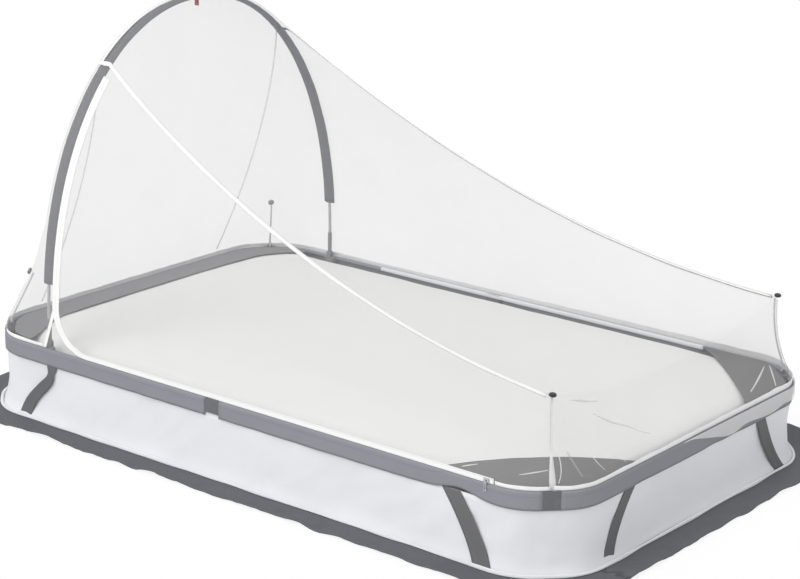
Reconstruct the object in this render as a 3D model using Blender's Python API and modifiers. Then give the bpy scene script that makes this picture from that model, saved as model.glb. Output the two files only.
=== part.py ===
"""Mosquito net tent for one mattress: a grey rim on poles, one arch, four stays, a white net.

Run it with: blender --background --python part.py, or from the text editor.
Metres, +Z up. The origin is on the ground under the middle of the mattress, +X runs from
the head end to the foot end, and the front, where the door is, faces -Y.
"""
import math

import bmesh
import bpy
from mathutils import Matrix, Vector

for old in list(bpy.data.objects):
    bpy.data.objects.remove(old, do_unlink=True)

# Driving sizes of the tent, in metres
RIM_LENGTH = 2.00
RIM_WIDTH = 1.24
RIM_TOP = 0.215
RIM_BEND_RADIUS = 0.150
SKIRT_WIDTH = 0.10
SKIRT_CORNER_RADIUS = 0.27
GROUND_THICKNESS = 0.003
ARCH_FROM_HEAD = 0.281
ARCH_HEIGHT = 0.897
ARCH_INSET = 0.024
ARCH_SQUARENESS = 2.12
FOOT_PEAK_HEIGHT = 0.218
FOOT_PEAK_INSET = 0.034
HEAD_STAY_HEIGHT = 0.142
HEAD_SEAM_HALF_SPAN = 0.37
SEAM_ANGLE = math.radians(54)

# Clearances and cloth
GAP = 0.0003
PLAY = 0.0003
SEAM_GAP = 0.0010
NET_THICKNESS = 0.0008
NET_OVER_SLEEVE = 0.0022
NET_RISE = 0.018
NET_EDGE_ROW = 0.009
SLEEVE_CLOTH = 0.0012
WEBBING = 0.0015
WALL_CLOTH = 0.0015
PANEL_CLOTH = 0.0015
CUT_OVERRUN = 0.002

# Rim: poles in flat sleeves between corner connectors
BAND_HEIGHT = 0.048
BAND_CLOTH = 0.0016
ROD_RADIUS = 0.0045
SOCKET_DEPTH = 0.014
WINDOW_FROM_HEAD = 0.91
COUPLER_LENGTH = 0.048
COUPLER_HEIGHT = 0.0385
COUPLER_RECESS = 0.0006
COUPLER_THICKNESS = 0.0116

# Corner connectors and the stays that stand in them
CONNECTOR_LEG = 0.021
CONNECTOR_DEPTH = 0.0255
CONNECTOR_BLOCK_HEIGHT = 0.0395
EAR_THICKNESS = 0.003
EAR_RADIUS = 0.006
EYE_THICKNESS = 0.006
EYE_RADIUS = 0.0055
PIN_RADIUS = 0.002
PIVOT_RISE = 0.0085
PIVOT_INSET = 0.0185
STAY_RADIUS = 0.0025
STAY_COLLAR_RADIUS = 0.0032
STAY_COLLAR_LENGTH = 0.016
STAY_TIP_INSET = 0.0052
STAY_TIP_DROP = 0.0034
STAY_LEAN_POWER = 6
CAP_RADIUS = 0.0095
CAP_HEIGHT = 0.0095
HEAD_CAP_SEAT = 0.0011
FOOT_CAP_SEAT = 0.0006

# Arch: one bent pole in a flat sleeve, two hinged feet on brackets
POLE_RADIUS = 0.0045
ARCH_SLEEVE_WIDTH = 0.040
ARCH_SLEEVE_END = 0.178
FOOT_RADIUS = 0.0062
FOOT_LENGTH = 0.055
FOOT_EYE_RADIUS = 0.0075
BRACKET_LENGTH = 0.034
BRACKET_DEPTH = 0.0165
BRACKET_HEIGHT = 0.0185
BRACKET_EAR_RADIUS = 0.0085
BRACKET_PIN_RADIUS = 0.0025
BRACKET_RISE = 0.0105
TAB_WIDTH = 0.014
TAB_LENGTH = 0.020
TAB_THICKNESS = 0.0010

# Walls, straps, mattress and the panels that hold it
WALL_TOP_DROP = 0.0405
WALL_SAG = 0.006
WALL_FOOT_ROLL = 0.011
STRAP_WIDTH = 0.045
STRAP_TOP_FROM_CORNER = 0.312
STRAP_FOOT_FROM_CORNER = 0.208
MATTRESS_END_GAP = 0.0225
MATTRESS_SIDE_GAP = 0.0325
MATTRESS_CROWN = 0.036
MATTRESS_EDGE_DROP = 0.006
MATTRESS_SHOULDER = 0.036
MATTRESS_CORNER_RADIUS = 0.190
MATTRESS_SIDE_DRAW = 0.008
PANEL_REST = 0.0012
POCKET_RUN = 0.310
POCKET_CORNER_CUT = 0.088
HEAD_PANEL_WIDTH = 0.125
HEAD_PANEL_LEG = 0.185
HEAD_PANEL_CORNER_INSET = 0.0275
HEAD_PANEL_EASE = 0.040

# Door zip and its slider
ZIP_WIDTH = 0.024
ZIP_RIM_WIDTH = 0.014
ZIP_THICKNESS = 0.0010
ZIP_REST = 0.0008
ZIP_BESIDE_SLEEVE = 0.016
ZIP_BEND_HEIGHT = 0.120
ZIP_BEND_REACH = 0.130
ZIP_END_FROM_FOOT = 0.190
ZIP_TOP_BELOW_SEAM = 0.030
SLIDER_LENGTH = 0.016
SLIDER_WIDTH = 0.010
SLIDER_DEPTH = 0.0042
SLIDER_FROM_FOOT = 0.210
PULL_WIDTH = 0.007
PULL_LENGTH = 0.026
PULL_THICKNESS = 0.0012
PULL_PLAY = 0.0005
PULL_BRIDGE = 0.0030
STAPLE_THICKNESS = 0.0010
STAPLE_WIDTH = 0.0024
SEAM_TAPE_WIDTH = 0.014
SEAM_TAPE_THICKNESS = 0.0008
SEAM_TAPE_REST = 0.0007
SEAM_TAPE_END_SHARE = 0.2
NUDGE_SHARE = 0.001

# Shares and powers that shape the net, chosen against the photograph
HEAD_FLARE_POWER = 1.6
FOOT_FLARE_POWER = 2.4
RIDGE_SAG_SHARE = 0.205
RIDGE_BOW_POWER = 0.75
ROOF_HANG_SHARE = 0.05
SIDE_DRAW_SHARE = 0.020
ARCH_HOLD_POWER = 2.6
GUSSET_HOLD_POWER = 3

# Sizes worked out from the ones above
HEAD, FOOT = -1, 1
FRONT, BACK = -1, 1
END_NAME = {HEAD: "head", FOOT: "foot"}
SIDE_NAME = {FRONT: "front", BACK: "back"}
HALF_LENGTH = RIM_LENGTH / 2
HALF_WIDTH = RIM_WIDTH / 2
CHANNEL_RADIUS = ROD_RADIUS + GAP + BAND_CLOTH
CORNER_STRAIGHT = CONNECTOR_LEG + CUT_OVERRUN
CORNER_REACH = RIM_BEND_RADIUS + math.sqrt(2) * CORNER_STRAIGHT
CORNER_DEPTH = CORNER_STRAIGHT + RIM_BEND_RADIUS * math.tan(math.pi / 8)
CORNER_X = HALF_LENGTH - CORNER_DEPTH / math.sqrt(2)
CORNER_Y = HALF_WIDTH - CORNER_DEPTH / math.sqrt(2)
BORE_RADIUS = ROD_RADIUS + GAP
ROD_Z = RIM_TOP - CHANNEL_RADIUS
WALL_INSET = BAND_CLOTH + GAP + WEBBING + GAP + WALL_CLOTH / 2
WINDOW_X = WINDOW_FROM_HEAD - HALF_LENGTH
ARCH_X = ARCH_FROM_HEAD - HALF_LENGTH
ARCH_HALF = HALF_WIDTH - ARCH_INSET
ARCH_PIVOT_Z = RIM_TOP + BRACKET_RISE
ARCH_SLEEVE_LOW = RIM_TOP + ARCH_SLEEVE_END
POLE_END_Z = ARCH_PIVOT_Z + FOOT_EYE_RADIUS + FOOT_RADIUS
ARCH_SPRING_Z = POLE_END_Z + FOOT_LENGTH
SLEEVE_INNER = POLE_RADIUS + GAP
SLEEVE_OUTER = SLEEVE_INNER + SLEEVE_CLOTH
NET_OVER_ARCH = SLEEVE_OUTER + NET_OVER_SLEEVE + NET_THICKNESS / 2
NET_RIM_Z = RIM_TOP + GAP
NET_LOW_Z = NET_RIM_Z + NET_RISE
NET_RIM_INSET = CHANNEL_RADIUS
NET_RIM_X = HALF_LENGTH - NET_RIM_INSET
NET_RIM_Y = HALF_WIDTH - NET_RIM_INSET
FLAT_HALF = ARCH_SLEEVE_WIDTH / 2 + BAND_CLOTH
ARCH_TOP_Z = RIM_TOP + ARCH_HEIGHT
STAY_PIVOT_Z = RIM_TOP + PIVOT_RISE
GROUND_TOP = GROUND_THICKNESS

# Colours read from the photograph, linear
RIM_GREY = (0.245, 0.250, 0.275)
PANEL_GREY = (0.290, 0.290, 0.300)
STRAP_GREY = (0.150, 0.150, 0.155)
SKIRT_GREY = (0.120, 0.125, 0.135)
ARCH_GREY = (0.255, 0.260, 0.290)
NET_WHITE = (0.86, 0.86, 0.86)
WALL_WHITE = (0.72, 0.73, 0.75)
PAD_WHITE = (0.84, 0.84, 0.83)
TAPE_WHITE = (0.90, 0.90, 0.90)
CAP_BLACK = (0.020, 0.020, 0.022)
POLE_GREY = (0.35, 0.36, 0.38)
BLOCK_GREY = (0.080, 0.082, 0.090)
TAB_RED = (0.55, 0.030, 0.040)

tent = bpy.data.collections.new("mosquito_net_tent")
cutters = bpy.data.collections.new("cutters")
for group in (tent, cutters):
    bpy.context.scene.collection.children.link(group)


# Small helpers for objects, materials and modifiers
def material(name, colour, roughness, metallic=0.0):
    finish = bpy.data.materials.get(name)
    if finish is None:
        finish = bpy.data.materials.new(name)
        finish.use_nodes = True
        shader = finish.node_tree.nodes["Principled BSDF"]
        shader.inputs["Base Color"].default_value = (*colour, 1.0)
        shader.inputs["Roughness"].default_value = roughness
        shader.inputs["Metallic"].default_value = metallic
        finish.diffuse_color = (*colour, 1.0)
    return finish


def add_object(name, mesh, finish=None, group=None):
    thing = bpy.data.objects.new(name, mesh)
    (group or tent).objects.link(thing)
    if finish:
        mesh.materials.append(finish)
    return thing


def hang_on(name, place, things):
    """An empty on a joint's axis that carries the pieces which turn or slide about it."""
    empty = add_object(name, None)
    empty.location = place
    for thing in things:
        for piece in [thing] + [step.object for step in thing.modifiers if step.type == "BOOLEAN"]:
            piece.parent = empty
            piece.matrix_parent_inverse = Matrix.Translation(place).inverted()


def as_cutter(thing):
    thing.hide_render = True
    thing.display_type = "WIRE"
    return thing


def mesh_from_bmesh(name, shape):
    bmesh.ops.recalc_face_normals(shape, faces=shape.faces)
    mesh = bpy.data.meshes.new(name)
    shape.to_mesh(mesh)
    shape.free()
    return mesh


def box_mesh(name, size, centre):
    shape = bmesh.new()
    bmesh.ops.create_cube(shape, size=1.0)
    bmesh.ops.scale(shape, vec=size, verts=shape.verts)
    bmesh.ops.translate(shape, vec=centre, verts=shape.verts)
    return mesh_from_bmesh(name, shape)


def rod_mesh(name, start, end, radius, sides=12):
    start, end = Vector(start), Vector(end)
    along = end - start
    shape = bmesh.new()
    bmesh.ops.create_cone(shape, cap_ends=True, segments=sides, radius1=radius,
                          radius2=radius, depth=along.length)
    turn = along.to_track_quat("Z", "Y").to_matrix().to_4x4()
    bmesh.ops.transform(shape, matrix=Matrix.Translation((start + end) / 2) @ turn,
                        verts=shape.verts)
    return mesh_from_bmesh(name, shape)


def combine(target, other, operation):
    step = target.modifiers.new(operation.lower(), "BOOLEAN")
    step.operation = operation
    step.object = as_cutter(other)
    return step


def bevel(target, width, segments=2, angle=math.radians(40)):
    step = target.modifiers.new("bevel", "BEVEL")
    step.width = width
    step.segments = segments
    step.limit_method = "ANGLE"
    step.angle_limit = angle
    return step


def frame_matrix(origin, across, up):
    """Local X along across, local Y along up, local Z square to both."""
    across, up = Vector(across).normalized(), Vector(up).normalized()
    out = across.cross(up)
    turn = Matrix((across, up, out)).transposed().to_4x4()
    return Matrix.Translation(origin) @ turn


def plate_mesh(name, outlines, thickness, matrix):
    """A flat plate from closed outlines in its own X and Y, holes given as further outlines."""
    curve = bpy.data.curves.new(name, "CURVE")
    curve.dimensions = "2D"
    curve.fill_mode = "BOTH"
    curve.extrude = thickness / 2
    for outline in outlines:
        spline = curve.splines.new("POLY")
        spline.points.add(len(outline) - 1)
        for point, (x, y) in zip(spline.points, outline):
            point.co = (x, y, 0.0, 1.0)
        spline.use_cyclic_u = True
    holder = bpy.data.objects.new(name, curve)
    bpy.context.scene.collection.objects.link(holder)
    bpy.context.view_layer.update()
    seen = holder.evaluated_get(bpy.context.evaluated_depsgraph_get())
    flat = bpy.data.meshes.new_from_object(seen)
    bpy.data.objects.remove(holder, do_unlink=True)
    shape = bmesh.new()
    shape.from_mesh(flat)
    bpy.data.meshes.remove(flat)
    bmesh.ops.remove_doubles(shape, verts=shape.verts, dist=GAP / 10)
    bmesh.ops.transform(shape, matrix=matrix, verts=shape.verts)
    return mesh_from_bmesh(name, shape)


def tube_mesh(name, points, radius, sides_level=1, capped=True):
    """A tube of one radius along points, as a mesh with welded caps."""
    curve = bpy.data.curves.new(name, "CURVE")
    curve.dimensions = "3D"
    curve.bevel_depth = radius
    curve.bevel_resolution = sides_level
    curve.use_fill_caps = capped
    spline = curve.splines.new("POLY")
    spline.points.add(len(points) - 1)
    for point, place in zip(spline.points, points):
        point.co = (*place, 1.0)
    holder = bpy.data.objects.new(name, curve)
    bpy.context.scene.collection.objects.link(holder)
    bpy.context.view_layer.update()
    seen = holder.evaluated_get(bpy.context.evaluated_depsgraph_get())
    raw = bpy.data.meshes.new_from_object(seen)
    bpy.data.objects.remove(holder, do_unlink=True)
    shape = bmesh.new()
    shape.from_mesh(raw)
    bpy.data.meshes.remove(raw)
    bmesh.ops.remove_doubles(shape, verts=shape.verts, dist=GAP / 10)
    return mesh_from_bmesh(name, shape)


def sheet(name, rows, thickness, finish):
    """Cloth as an open surface through rows of points, made solid about its middle."""
    shape = bmesh.new()
    grid = [[shape.verts.new(point) for point in row] for row in rows]
    for near, far in zip(grid, grid[1:]):
        for a, b, c, d in zip(near, near[1:], far[1:], far):
            shape.faces.new((a, b, c, d))
    bmesh.ops.remove_doubles(shape, verts=shape.verts, dist=GAP / 10)
    bmesh.ops.dissolve_degenerate(shape, edges=shape.edges, dist=GAP / 10)
    mesh = bpy.data.meshes.new(name)
    shape.to_mesh(mesh)
    shape.free()
    mesh.shade_smooth()
    cloth = add_object(name, mesh, finish)
    solid = cloth.modifiers.new("cloth thickness", "SOLIDIFY")
    solid.thickness = thickness
    solid.offset = 0.0
    solid.use_even_offset = True
    return cloth


def arc_points(centre, radius, start, end, count):
    return [(centre[0] + radius * math.cos(start + (end - start) * k / count),
             centre[1] + radius * math.sin(start + (end - start) * k / count))
            for k in range(count + 1)]


def mix(a, b, share):
    return a + (b - a) * share


def shares(count):
    return [k / count for k in range(count + 1)]


def smooth(share):
    share = min(1.0, max(0.0, share))
    return share * share * (3 - 2 * share)


# Plan of the rim: straight sides, and corners of two bends with a short straight between
def plan_point(way, inset, end, side, run):
    """Place and outward direction at a distance from a corner's middle along a long or short run."""
    reach, span = (HALF_LENGTH, HALF_WIDTH) if run == "long" else (HALF_WIDTH, HALF_LENGTH)
    radius = RIM_BEND_RADIUS - inset
    bend = radius * math.pi / 4
    if way <= CORNER_STRAIGHT:
        depth = CORNER_DEPTH + inset
        turn = math.pi / 4
        along = reach - (depth + way) / math.sqrt(2)
        out = span - (depth - way) / math.sqrt(2)
    elif way <= CORNER_STRAIGHT + bend:
        turn = math.pi / 4 + (way - CORNER_STRAIGHT) / radius
        along = reach - CORNER_REACH + radius * math.cos(turn)
        out = span - RIM_BEND_RADIUS + radius * math.sin(turn)
    else:
        turn = math.pi / 2
        along = reach - CORNER_REACH - (way - CORNER_STRAIGHT - bend)
        out = span - inset
    normal_along, normal_out = math.cos(turn), math.sin(turn)
    if run == "short":
        along, out = out, along
        normal_along, normal_out = normal_out, normal_along
    outward = Vector((end * normal_along, side * normal_out, 0.0))
    return Vector((end * along, side * out, 0.0)), outward


def bend_ways(inset):
    """Distances from a corner's middle to the points that draw its bend."""
    bend = (RIM_BEND_RADIUS - inset) * math.pi / 4
    return [CORNER_STRAIGHT + bend * share for share in shares(3)]


def straight_way(distance, inset):
    """Distance from a corner's middle of the point this far from the sides' crossing."""
    return bend_ways(inset)[-1] + distance - CORNER_REACH


def corner_stations(end, side, run, inset, start):
    """Places and outward directions from a start near a corner's middle to the end of its bend."""
    ways = [start] + [way for way in bend_ways(inset) if way > start]
    return [plan_point(way, inset, end, side, run) for way in ways]


def side_stations(first, last, inset, start, runs):
    """The same from one corner, along the side between them, to the next corner."""
    run = "long" if first[1] == last[1] else "short"
    near = corner_stations(*first, run, inset, start)
    far = corner_stations(*last, run, inset, start)[::-1]
    middle = [(near[-1][0].lerp(far[0][0], share), far[0][1]) for share in shares(runs)[1:-1]]
    return near + middle + far


# Rim poles, sleeves, couplers and corner connectors
def band_profile():
    """Section of the flat sleeve as a line through its cloth: up the tail and round the pole."""
    middle = (-CHANNEL_RADIUS, -CHANNEL_RADIUS)
    slit = math.acos((CHANNEL_RADIUS - BAND_CLOTH - GAP) / CHANNEL_RADIUS)
    channel = arc_points(middle, CHANNEL_RADIUS - BAND_CLOTH / 2, 0.0, 2 * math.pi - slit, 10)
    return [(-BAND_CLOTH / 2, -BAND_HEIGHT)] + channel


def make_band(name, stations, finish):
    """A sleeve swept along stations, which are places on its outer face and outward directions."""
    rows = [[place + outward * out + Vector((0.0, 0.0, RIM_TOP + up)) for out, up in band_profile()]
            for place, outward in stations]
    sheet(name, rows, BAND_CLOTH, finish)


def make_rod(name, stations, finish):
    line = [(place.x, place.y, ROD_Z) for place, outward in stations]
    add_object(name, tube_mesh(name, line, ROD_RADIUS, 2), finish)


def make_rim():
    grey = material("rim_sleeve", RIM_GREY, 0.85)
    steel = material("rim_pole", POLE_GREY, 0.40, 0.6)
    plastic = material("coupler", BLOCK_GREY, 0.55)
    sleeve_stop = CONNECTOR_LEG + GAP
    rod_stop = CONNECTOR_LEG - SOCKET_DEPTH + GAP
    window = COUPLER_LENGTH / 2 + GAP
    for side in (FRONT, BACK):
        for end in (HEAD, FOOT):
            name = f"{SIDE_NAME[side]}_{END_NAME[end]}"
            outward = Vector((0.0, side, 0.0))
            stop = Vector((WINDOW_X + end * window, side * HALF_WIDTH, 0.0))
            stations = corner_stations(end, side, "long", 0.0, sleeve_stop)
            make_band(f"rim_sleeve_{name}", [*stations, (stop, outward)], grey)
            stop = Vector((WINDOW_X + end * GAP, side * (HALF_WIDTH - CHANNEL_RADIUS), 0.0))
            stations = corner_stations(end, side, "long", CHANNEL_RADIUS, rod_stop)
            make_rod(f"rim_pole_{name}", [*stations, (stop, outward)], steel)
        make_coupler(side, side * (HALF_WIDTH - CHANNEL_RADIUS), plastic)
    for end in (HEAD, FOOT):
        corners = ((end, FRONT), (end, BACK))
        make_band(f"rim_sleeve_{END_NAME[end]}", side_stations(*corners, 0.0, sleeve_stop, 1), grey)
        make_rod(f"rim_pole_{END_NAME[end]}", side_stations(*corners, CHANNEL_RADIUS, rod_stop, 1), steel)


def make_coupler(side, axis, finish):
    """Flat block that joins the two long poles and fills the window between the sleeves."""
    outer = HALF_WIDTH - COUPLER_RECESS
    depth = COUPLER_THICKNESS
    size = (COUPLER_LENGTH, depth, COUPLER_HEIGHT)
    centre = (WINDOW_X, side * (outer - depth / 2), RIM_TOP - COUPLER_RECESS - COUPLER_HEIGHT / 2)
    name = f"pole_coupler_{SIDE_NAME[side]}"
    block = add_object(name, box_mesh(name, size, centre), finish)
    bevel(block, COUPLER_RECESS, 2)
    reach = COUPLER_LENGTH / 2 + CUT_OVERRUN
    bore = rod_mesh(f"{name}_bore", (WINDOW_X - reach, axis, ROD_Z), (WINDOW_X + reach, axis, ROD_Z),
                    BORE_RADIUS, 16)
    combine(block, add_object(f"{name}_bore", bore, group=cutters), "DIFFERENCE")


def ear_outline(radius, drop):
    """A lug with a round top: its round is centred on the pin, its foot lies drop below."""
    return arc_points((0.0, 0.0), radius, 0.0, math.pi, 10) + [(-radius, -drop), (radius, -drop)]


def diagonal(end, side):
    """Outward direction at the middle of a corner, and the direction along the rim there."""
    outward = Vector((end, side, 0.0)).normalized()
    return outward, Vector((-outward.y, outward.x, 0.0))


def make_connector(end, side):
    """Corner block: two pole sockets end to end, and a clevis with its pin for the stay."""
    name = f"corner_connector_{END_NAME[end]}_{SIDE_NAME[side]}"
    finish = material("corner_connector", BLOCK_GREY, 0.50)
    outward, along = diagonal(end, side)
    corner = Vector((end * CORNER_X, side * CORNER_Y, RIM_TOP))
    outline = [(0.0, 0.0), (-CONNECTOR_DEPTH, 0.0), (-CONNECTOR_DEPTH, -CONNECTOR_BLOCK_HEIGHT),
               (-BAND_CLOTH, -CONNECTOR_BLOCK_HEIGHT), (-BAND_CLOTH, -BAND_HEIGHT), (0.0, -BAND_HEIGHT)]
    place = frame_matrix(corner, outward, (0, 0, 1))
    block = add_object(name, plate_mesh(name, [outline], 2 * CONNECTOR_LEG, place), finish)
    bevel(block, BAND_CLOTH / 3, 1)
    axis = Vector((corner.x, corner.y, ROD_Z)) - outward * CHANNEL_RADIUS
    for way in (-1, 1):
        deep, over = CONNECTOR_LEG - SOCKET_DEPTH, CONNECTOR_LEG + CUT_OVERRUN
        bore = rod_mesh(f"{name}_bore", axis + along * way * deep, axis + along * way * over,
                        BORE_RADIUS, 16)
        combine(block, add_object(f"{name}_bore", bore, group=cutters), "DIFFERENCE")
    pivot = stay_pivot(end, side)
    slot = EYE_THICKNESS / 2 + PLAY
    for offset in (-slot - EAR_THICKNESS / 2, slot + EAR_THICKNESS / 2):
        place = frame_matrix(pivot + along * offset, outward, (0, 0, 1))
        ear = plate_mesh(f"{name}_ear", [ear_outline(EAR_RADIUS, PIVOT_RISE + CUT_OVERRUN)],
                         EAR_THICKNESS, place)
        combine(block, add_object(f"{name}_ear", ear, group=cutters), "UNION")
    half_pin = slot + EAR_THICKNESS + PLAY
    pin = rod_mesh(f"{name}_pin", pivot - along * half_pin, pivot + along * half_pin, PIN_RADIUS)
    combine(block, add_object(f"{name}_pin", pin, group=cutters), "UNION")
    return block


def stay_pivot(end, side):
    inward = PIVOT_INSET / math.sqrt(2)
    return Vector((end * (CORNER_X - inward), side * (CORNER_Y - inward), STAY_PIVOT_Z))


# Rows and columns of the net, as shares of each panel
LEVEL_SHARES = (0.0, 0.07, 0.16, 0.26, 0.37, 0.48, 0.59, 0.70, 0.80, 0.90)
FOOT_LEVEL_SHARES = (0.0, 0.15, 0.35, 0.65, 1.0)
SIDE_SHARES = (0.0, 0.018, 0.06, 0.12, 0.20, 0.30, 0.42, 0.55, 0.68, 0.80,
               0.88, 0.926, 0.948, 0.970, 0.988, 1.0)
COLUMN_SHARES = (0.0, 0.22, 0.44, 0.65, 0.84)
FOOT_COLUMN_SHARES = (0.0, 0.22, 0.44, 0.65, 0.77, 0.84, 0.90, 0.955)


def levels(height):
    """Rows of a panel of this height, the last but one close under the seam tape's edge."""
    return [*LEVEL_SHARES, 1 - NET_EDGE_ROW / height, 1.0]


def columns(half_width):
    """Columns of the middle strip from front (-1) to back (1), two close to the seams."""
    back = [*COLUMN_SHARES, 1 - NET_EDGE_ROW / half_width, 1.0]
    return [-v for v in back[:0:-1]] + back


# The curves that the net follows
def arch_y(z, half=ARCH_HALF, grow=0.0):
    """Half width of the arch at height z, a superellipse that stands upright at its feet."""
    rise = ARCH_TOP_Z + grow - ARCH_SPRING_Z
    share = min(1.0, max(0.0, (z - ARCH_SPRING_Z) / rise))
    return (half + grow) * (1 - share ** ARCH_SQUARENESS) ** (1 / ARCH_SQUARENESS)


def arch_point(angle, grow=0.0):
    """Point in Y and Z on the arch line, grown outward by grow; angle 0 is the back foot."""
    power = 2 / ARCH_SQUARENESS
    across = abs(math.cos(angle)) ** power * math.copysign(1.0, math.cos(angle))
    up = abs(math.sin(angle)) ** power
    rise = ARCH_TOP_Z + grow - ARCH_SPRING_Z
    return (ARCH_HALF + grow) * across, ARCH_SPRING_Z + rise * up


SHOULDER_Y, SHOULDER_Z = arch_point(SEAM_ANGLE, NET_OVER_ARCH)
PEAK_X = CORNER_X - FOOT_PEAK_INSET
PEAK_Y = CORNER_Y - FOOT_PEAK_INSET
PEAK_Z = RIM_TOP + FOOT_PEAK_HEIGHT
CROWN_Z = ARCH_TOP_Z + NET_OVER_ARCH


def foot_flare(up):
    """Share of the inward lean of the foot corner lines at a share of their height."""
    return 1 - (1 - up) ** FOOT_FLARE_POWER


def head_flare(up):
    return 1 - (1 - up) ** HEAD_FLARE_POWER


def net_section_y(z):
    """Half width of the net where it lies over the arch, drawn out to the rim below it."""
    flare = min(1.0, max(0.0, (ARCH_SLEEVE_LOW - z) / (ARCH_SLEEVE_LOW - NET_LOW_Z))) ** 2
    straight = max(arch_y(z, grow=NET_OVER_ARCH), 0.0)
    return mix(straight, NET_RIM_Y, flare)


def ridge_point(u):
    """The ridge line from the front shoulder of the arch (0) to the front foot peak (1)."""
    drop = SHOULDER_Z - PEAK_Z
    x = mix(ARCH_X + FLAT_HALF, PEAK_X, u)
    y = mix(SHOULDER_Y, PEAK_Y, u ** RIDGE_BOW_POWER)
    z = mix(SHOULDER_Z, PEAK_Z, u) - drop * RIDGE_SAG_SHARE * 4 * u * (1 - u)
    return x, y, z


SIDE_RUN = straight_way(HALF_LENGTH - ARCH_X - FLAT_HALF, NET_RIM_INSET)
GUSSET_HEAD_RUN = straight_way(HALF_WIDTH - HEAD_SEAM_HALF_SPAN, NET_RIM_INSET)
GUSSET_SIDE_RUN = straight_way(HALF_LENGTH + ARCH_X - FLAT_HALF, NET_RIM_INSET)
FOOT_RUN = straight_way(HALF_WIDTH, NET_RIM_INSET)


def side_point(u, s):
    """Side panel, front half turned to positive Y: u runs to the foot, s from rim to ridge."""
    ridge_x, ridge_y, ridge_z = ridge_point(u)
    rim = plan_point((1 - u) * SIDE_RUN, NET_RIM_INSET, FOOT, BACK, "long")[0]
    z = mix(NET_LOW_Z, ridge_z, s)
    over_arch = net_section_y(mix(NET_LOW_Z, SHOULDER_Z, s))
    arch_share = (NET_RIM_Y - over_arch) / (NET_RIM_Y - SHOULDER_Y)
    taut_share = mix(s, foot_flare(s), smooth(u))
    hold = (1 - u) ** ARCH_HOLD_POWER
    y = mix(rim.y, ridge_y, mix(taut_share, arch_share, hold))
    y -= SIDE_DRAW_SHARE * RIM_WIDTH * math.sin(math.pi * u) * math.sin(math.pi * s) * (1 - hold)
    x = mix(rim.x, ridge_x, mix(s, foot_flare(s), u))
    return x, y, z


GUSSET_CORNER = GUSSET_HEAD_RUN / (GUSSET_HEAD_RUN + GUSSET_SIDE_RUN)
GUSSET_HEAD_SHARES = (0.0, 0.23, 0.44, 0.65, 0.86)
GUSSET_SIDE_SHARES = (0.0, 0.14, 0.32, 0.50, 0.70, 0.91, 1.0)
GUSSET_SHARES = ([GUSSET_CORNER * share for share in GUSSET_HEAD_SHARES]
                 + [mix(GUSSET_CORNER, 1.0, share) for share in GUSSET_SIDE_SHARES])


def gusset_rim(a):
    """Rim path of the head gusset: from the seam on the head rim (0) to the arch foot (1)."""
    way = a * (GUSSET_HEAD_RUN + GUSSET_SIDE_RUN) - GUSSET_HEAD_RUN
    place, outward = plan_point(abs(way), NET_RIM_INSET, HEAD, BACK, "long" if way > 0 else "short")
    return place.x, place.y


def gusset_point(a, s):
    """Head gusset, front half turned to positive Y: a from the seam to the arch, s upward."""
    rim_x, rim_y = gusset_rim(a)
    z = mix(NET_LOW_Z, SHOULDER_Z, s)
    over_arch = (NET_RIM_Y - net_section_y(z)) / (NET_RIM_Y - SHOULDER_Y)
    inward = mix(head_flare(s), over_arch, a ** GUSSET_HOLD_POWER)
    return mix(rim_x, ARCH_X - FLAT_HALF, inward), mix(rim_y, SHOULDER_Y, inward), z


def cap_rise(v):
    """Height of the net crown over the shoulders at a share v of the half width."""
    reach = min(1.0, abs(v) * math.cos(SEAM_ANGLE) ** (2 / ARCH_SQUARENESS))
    angle = math.acos(reach ** (ARCH_SQUARENESS / 2))
    return (arch_point(angle, NET_OVER_ARCH)[1] - SHOULDER_Z) / (CROWN_Z - SHOULDER_Z)


def roof_point(u, v):
    """Roof strip from the arch to the foot peaks, v from the front ridge (-1) to the back (1)."""
    x, ridge_y, ridge_z = ridge_point(u)
    rise = (CROWN_Z - SHOULDER_Z) * (1 - u) ** 2 - ROOF_HANG_SHARE * RIM_WIDTH * smooth(u)
    return x, ridge_y * v, ridge_z + rise * cap_rise(v)


def strip_half_width(s):
    return mix(HEAD_SEAM_HALF_SPAN, SHOULDER_Y, head_flare(s))


def head_strip_point(s, v):
    """The same strip on its way down to the head rim, s from the rim (0) to the arch (1)."""
    x = mix(-NET_RIM_X, ARCH_X - FLAT_HALF, head_flare(s))
    y = strip_half_width(s) * v
    top = mix(SHOULDER_Z, CROWN_Z, cap_rise(v))
    return x, y, mix(NET_LOW_Z, top, s)


# Arch pole, sleeve, hinged feet and brackets
def arch_angles(low_z):
    """Angles of the arch at the rows and columns of the net above low_z, back foot to front."""
    rise = CROWN_Z - ARCH_SPRING_Z
    tall = SHOULDER_Z - NET_LOW_Z
    heights = [low_z, ARCH_SLEEVE_LOW] + [mix(NET_LOW_Z, SHOULDER_Z, s) for s in levels(tall)[:-1]]
    heights = sorted({z for z in heights if z >= low_z})
    quarter = [math.asin(((z - ARCH_SPRING_Z) / rise) ** (ARCH_SQUARENESS / 2)) for z in heights]
    reach = SHOULDER_Y / (ARCH_HALF + NET_OVER_ARCH)
    across = [v for v in columns(SHOULDER_Y)[::-1] if v >= 0]
    quarter += [math.acos((reach * v) ** (ARCH_SQUARENESS / 2)) for v in across]
    return quarter + [math.pi - angle for angle in quarter[-2::-1]]


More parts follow.
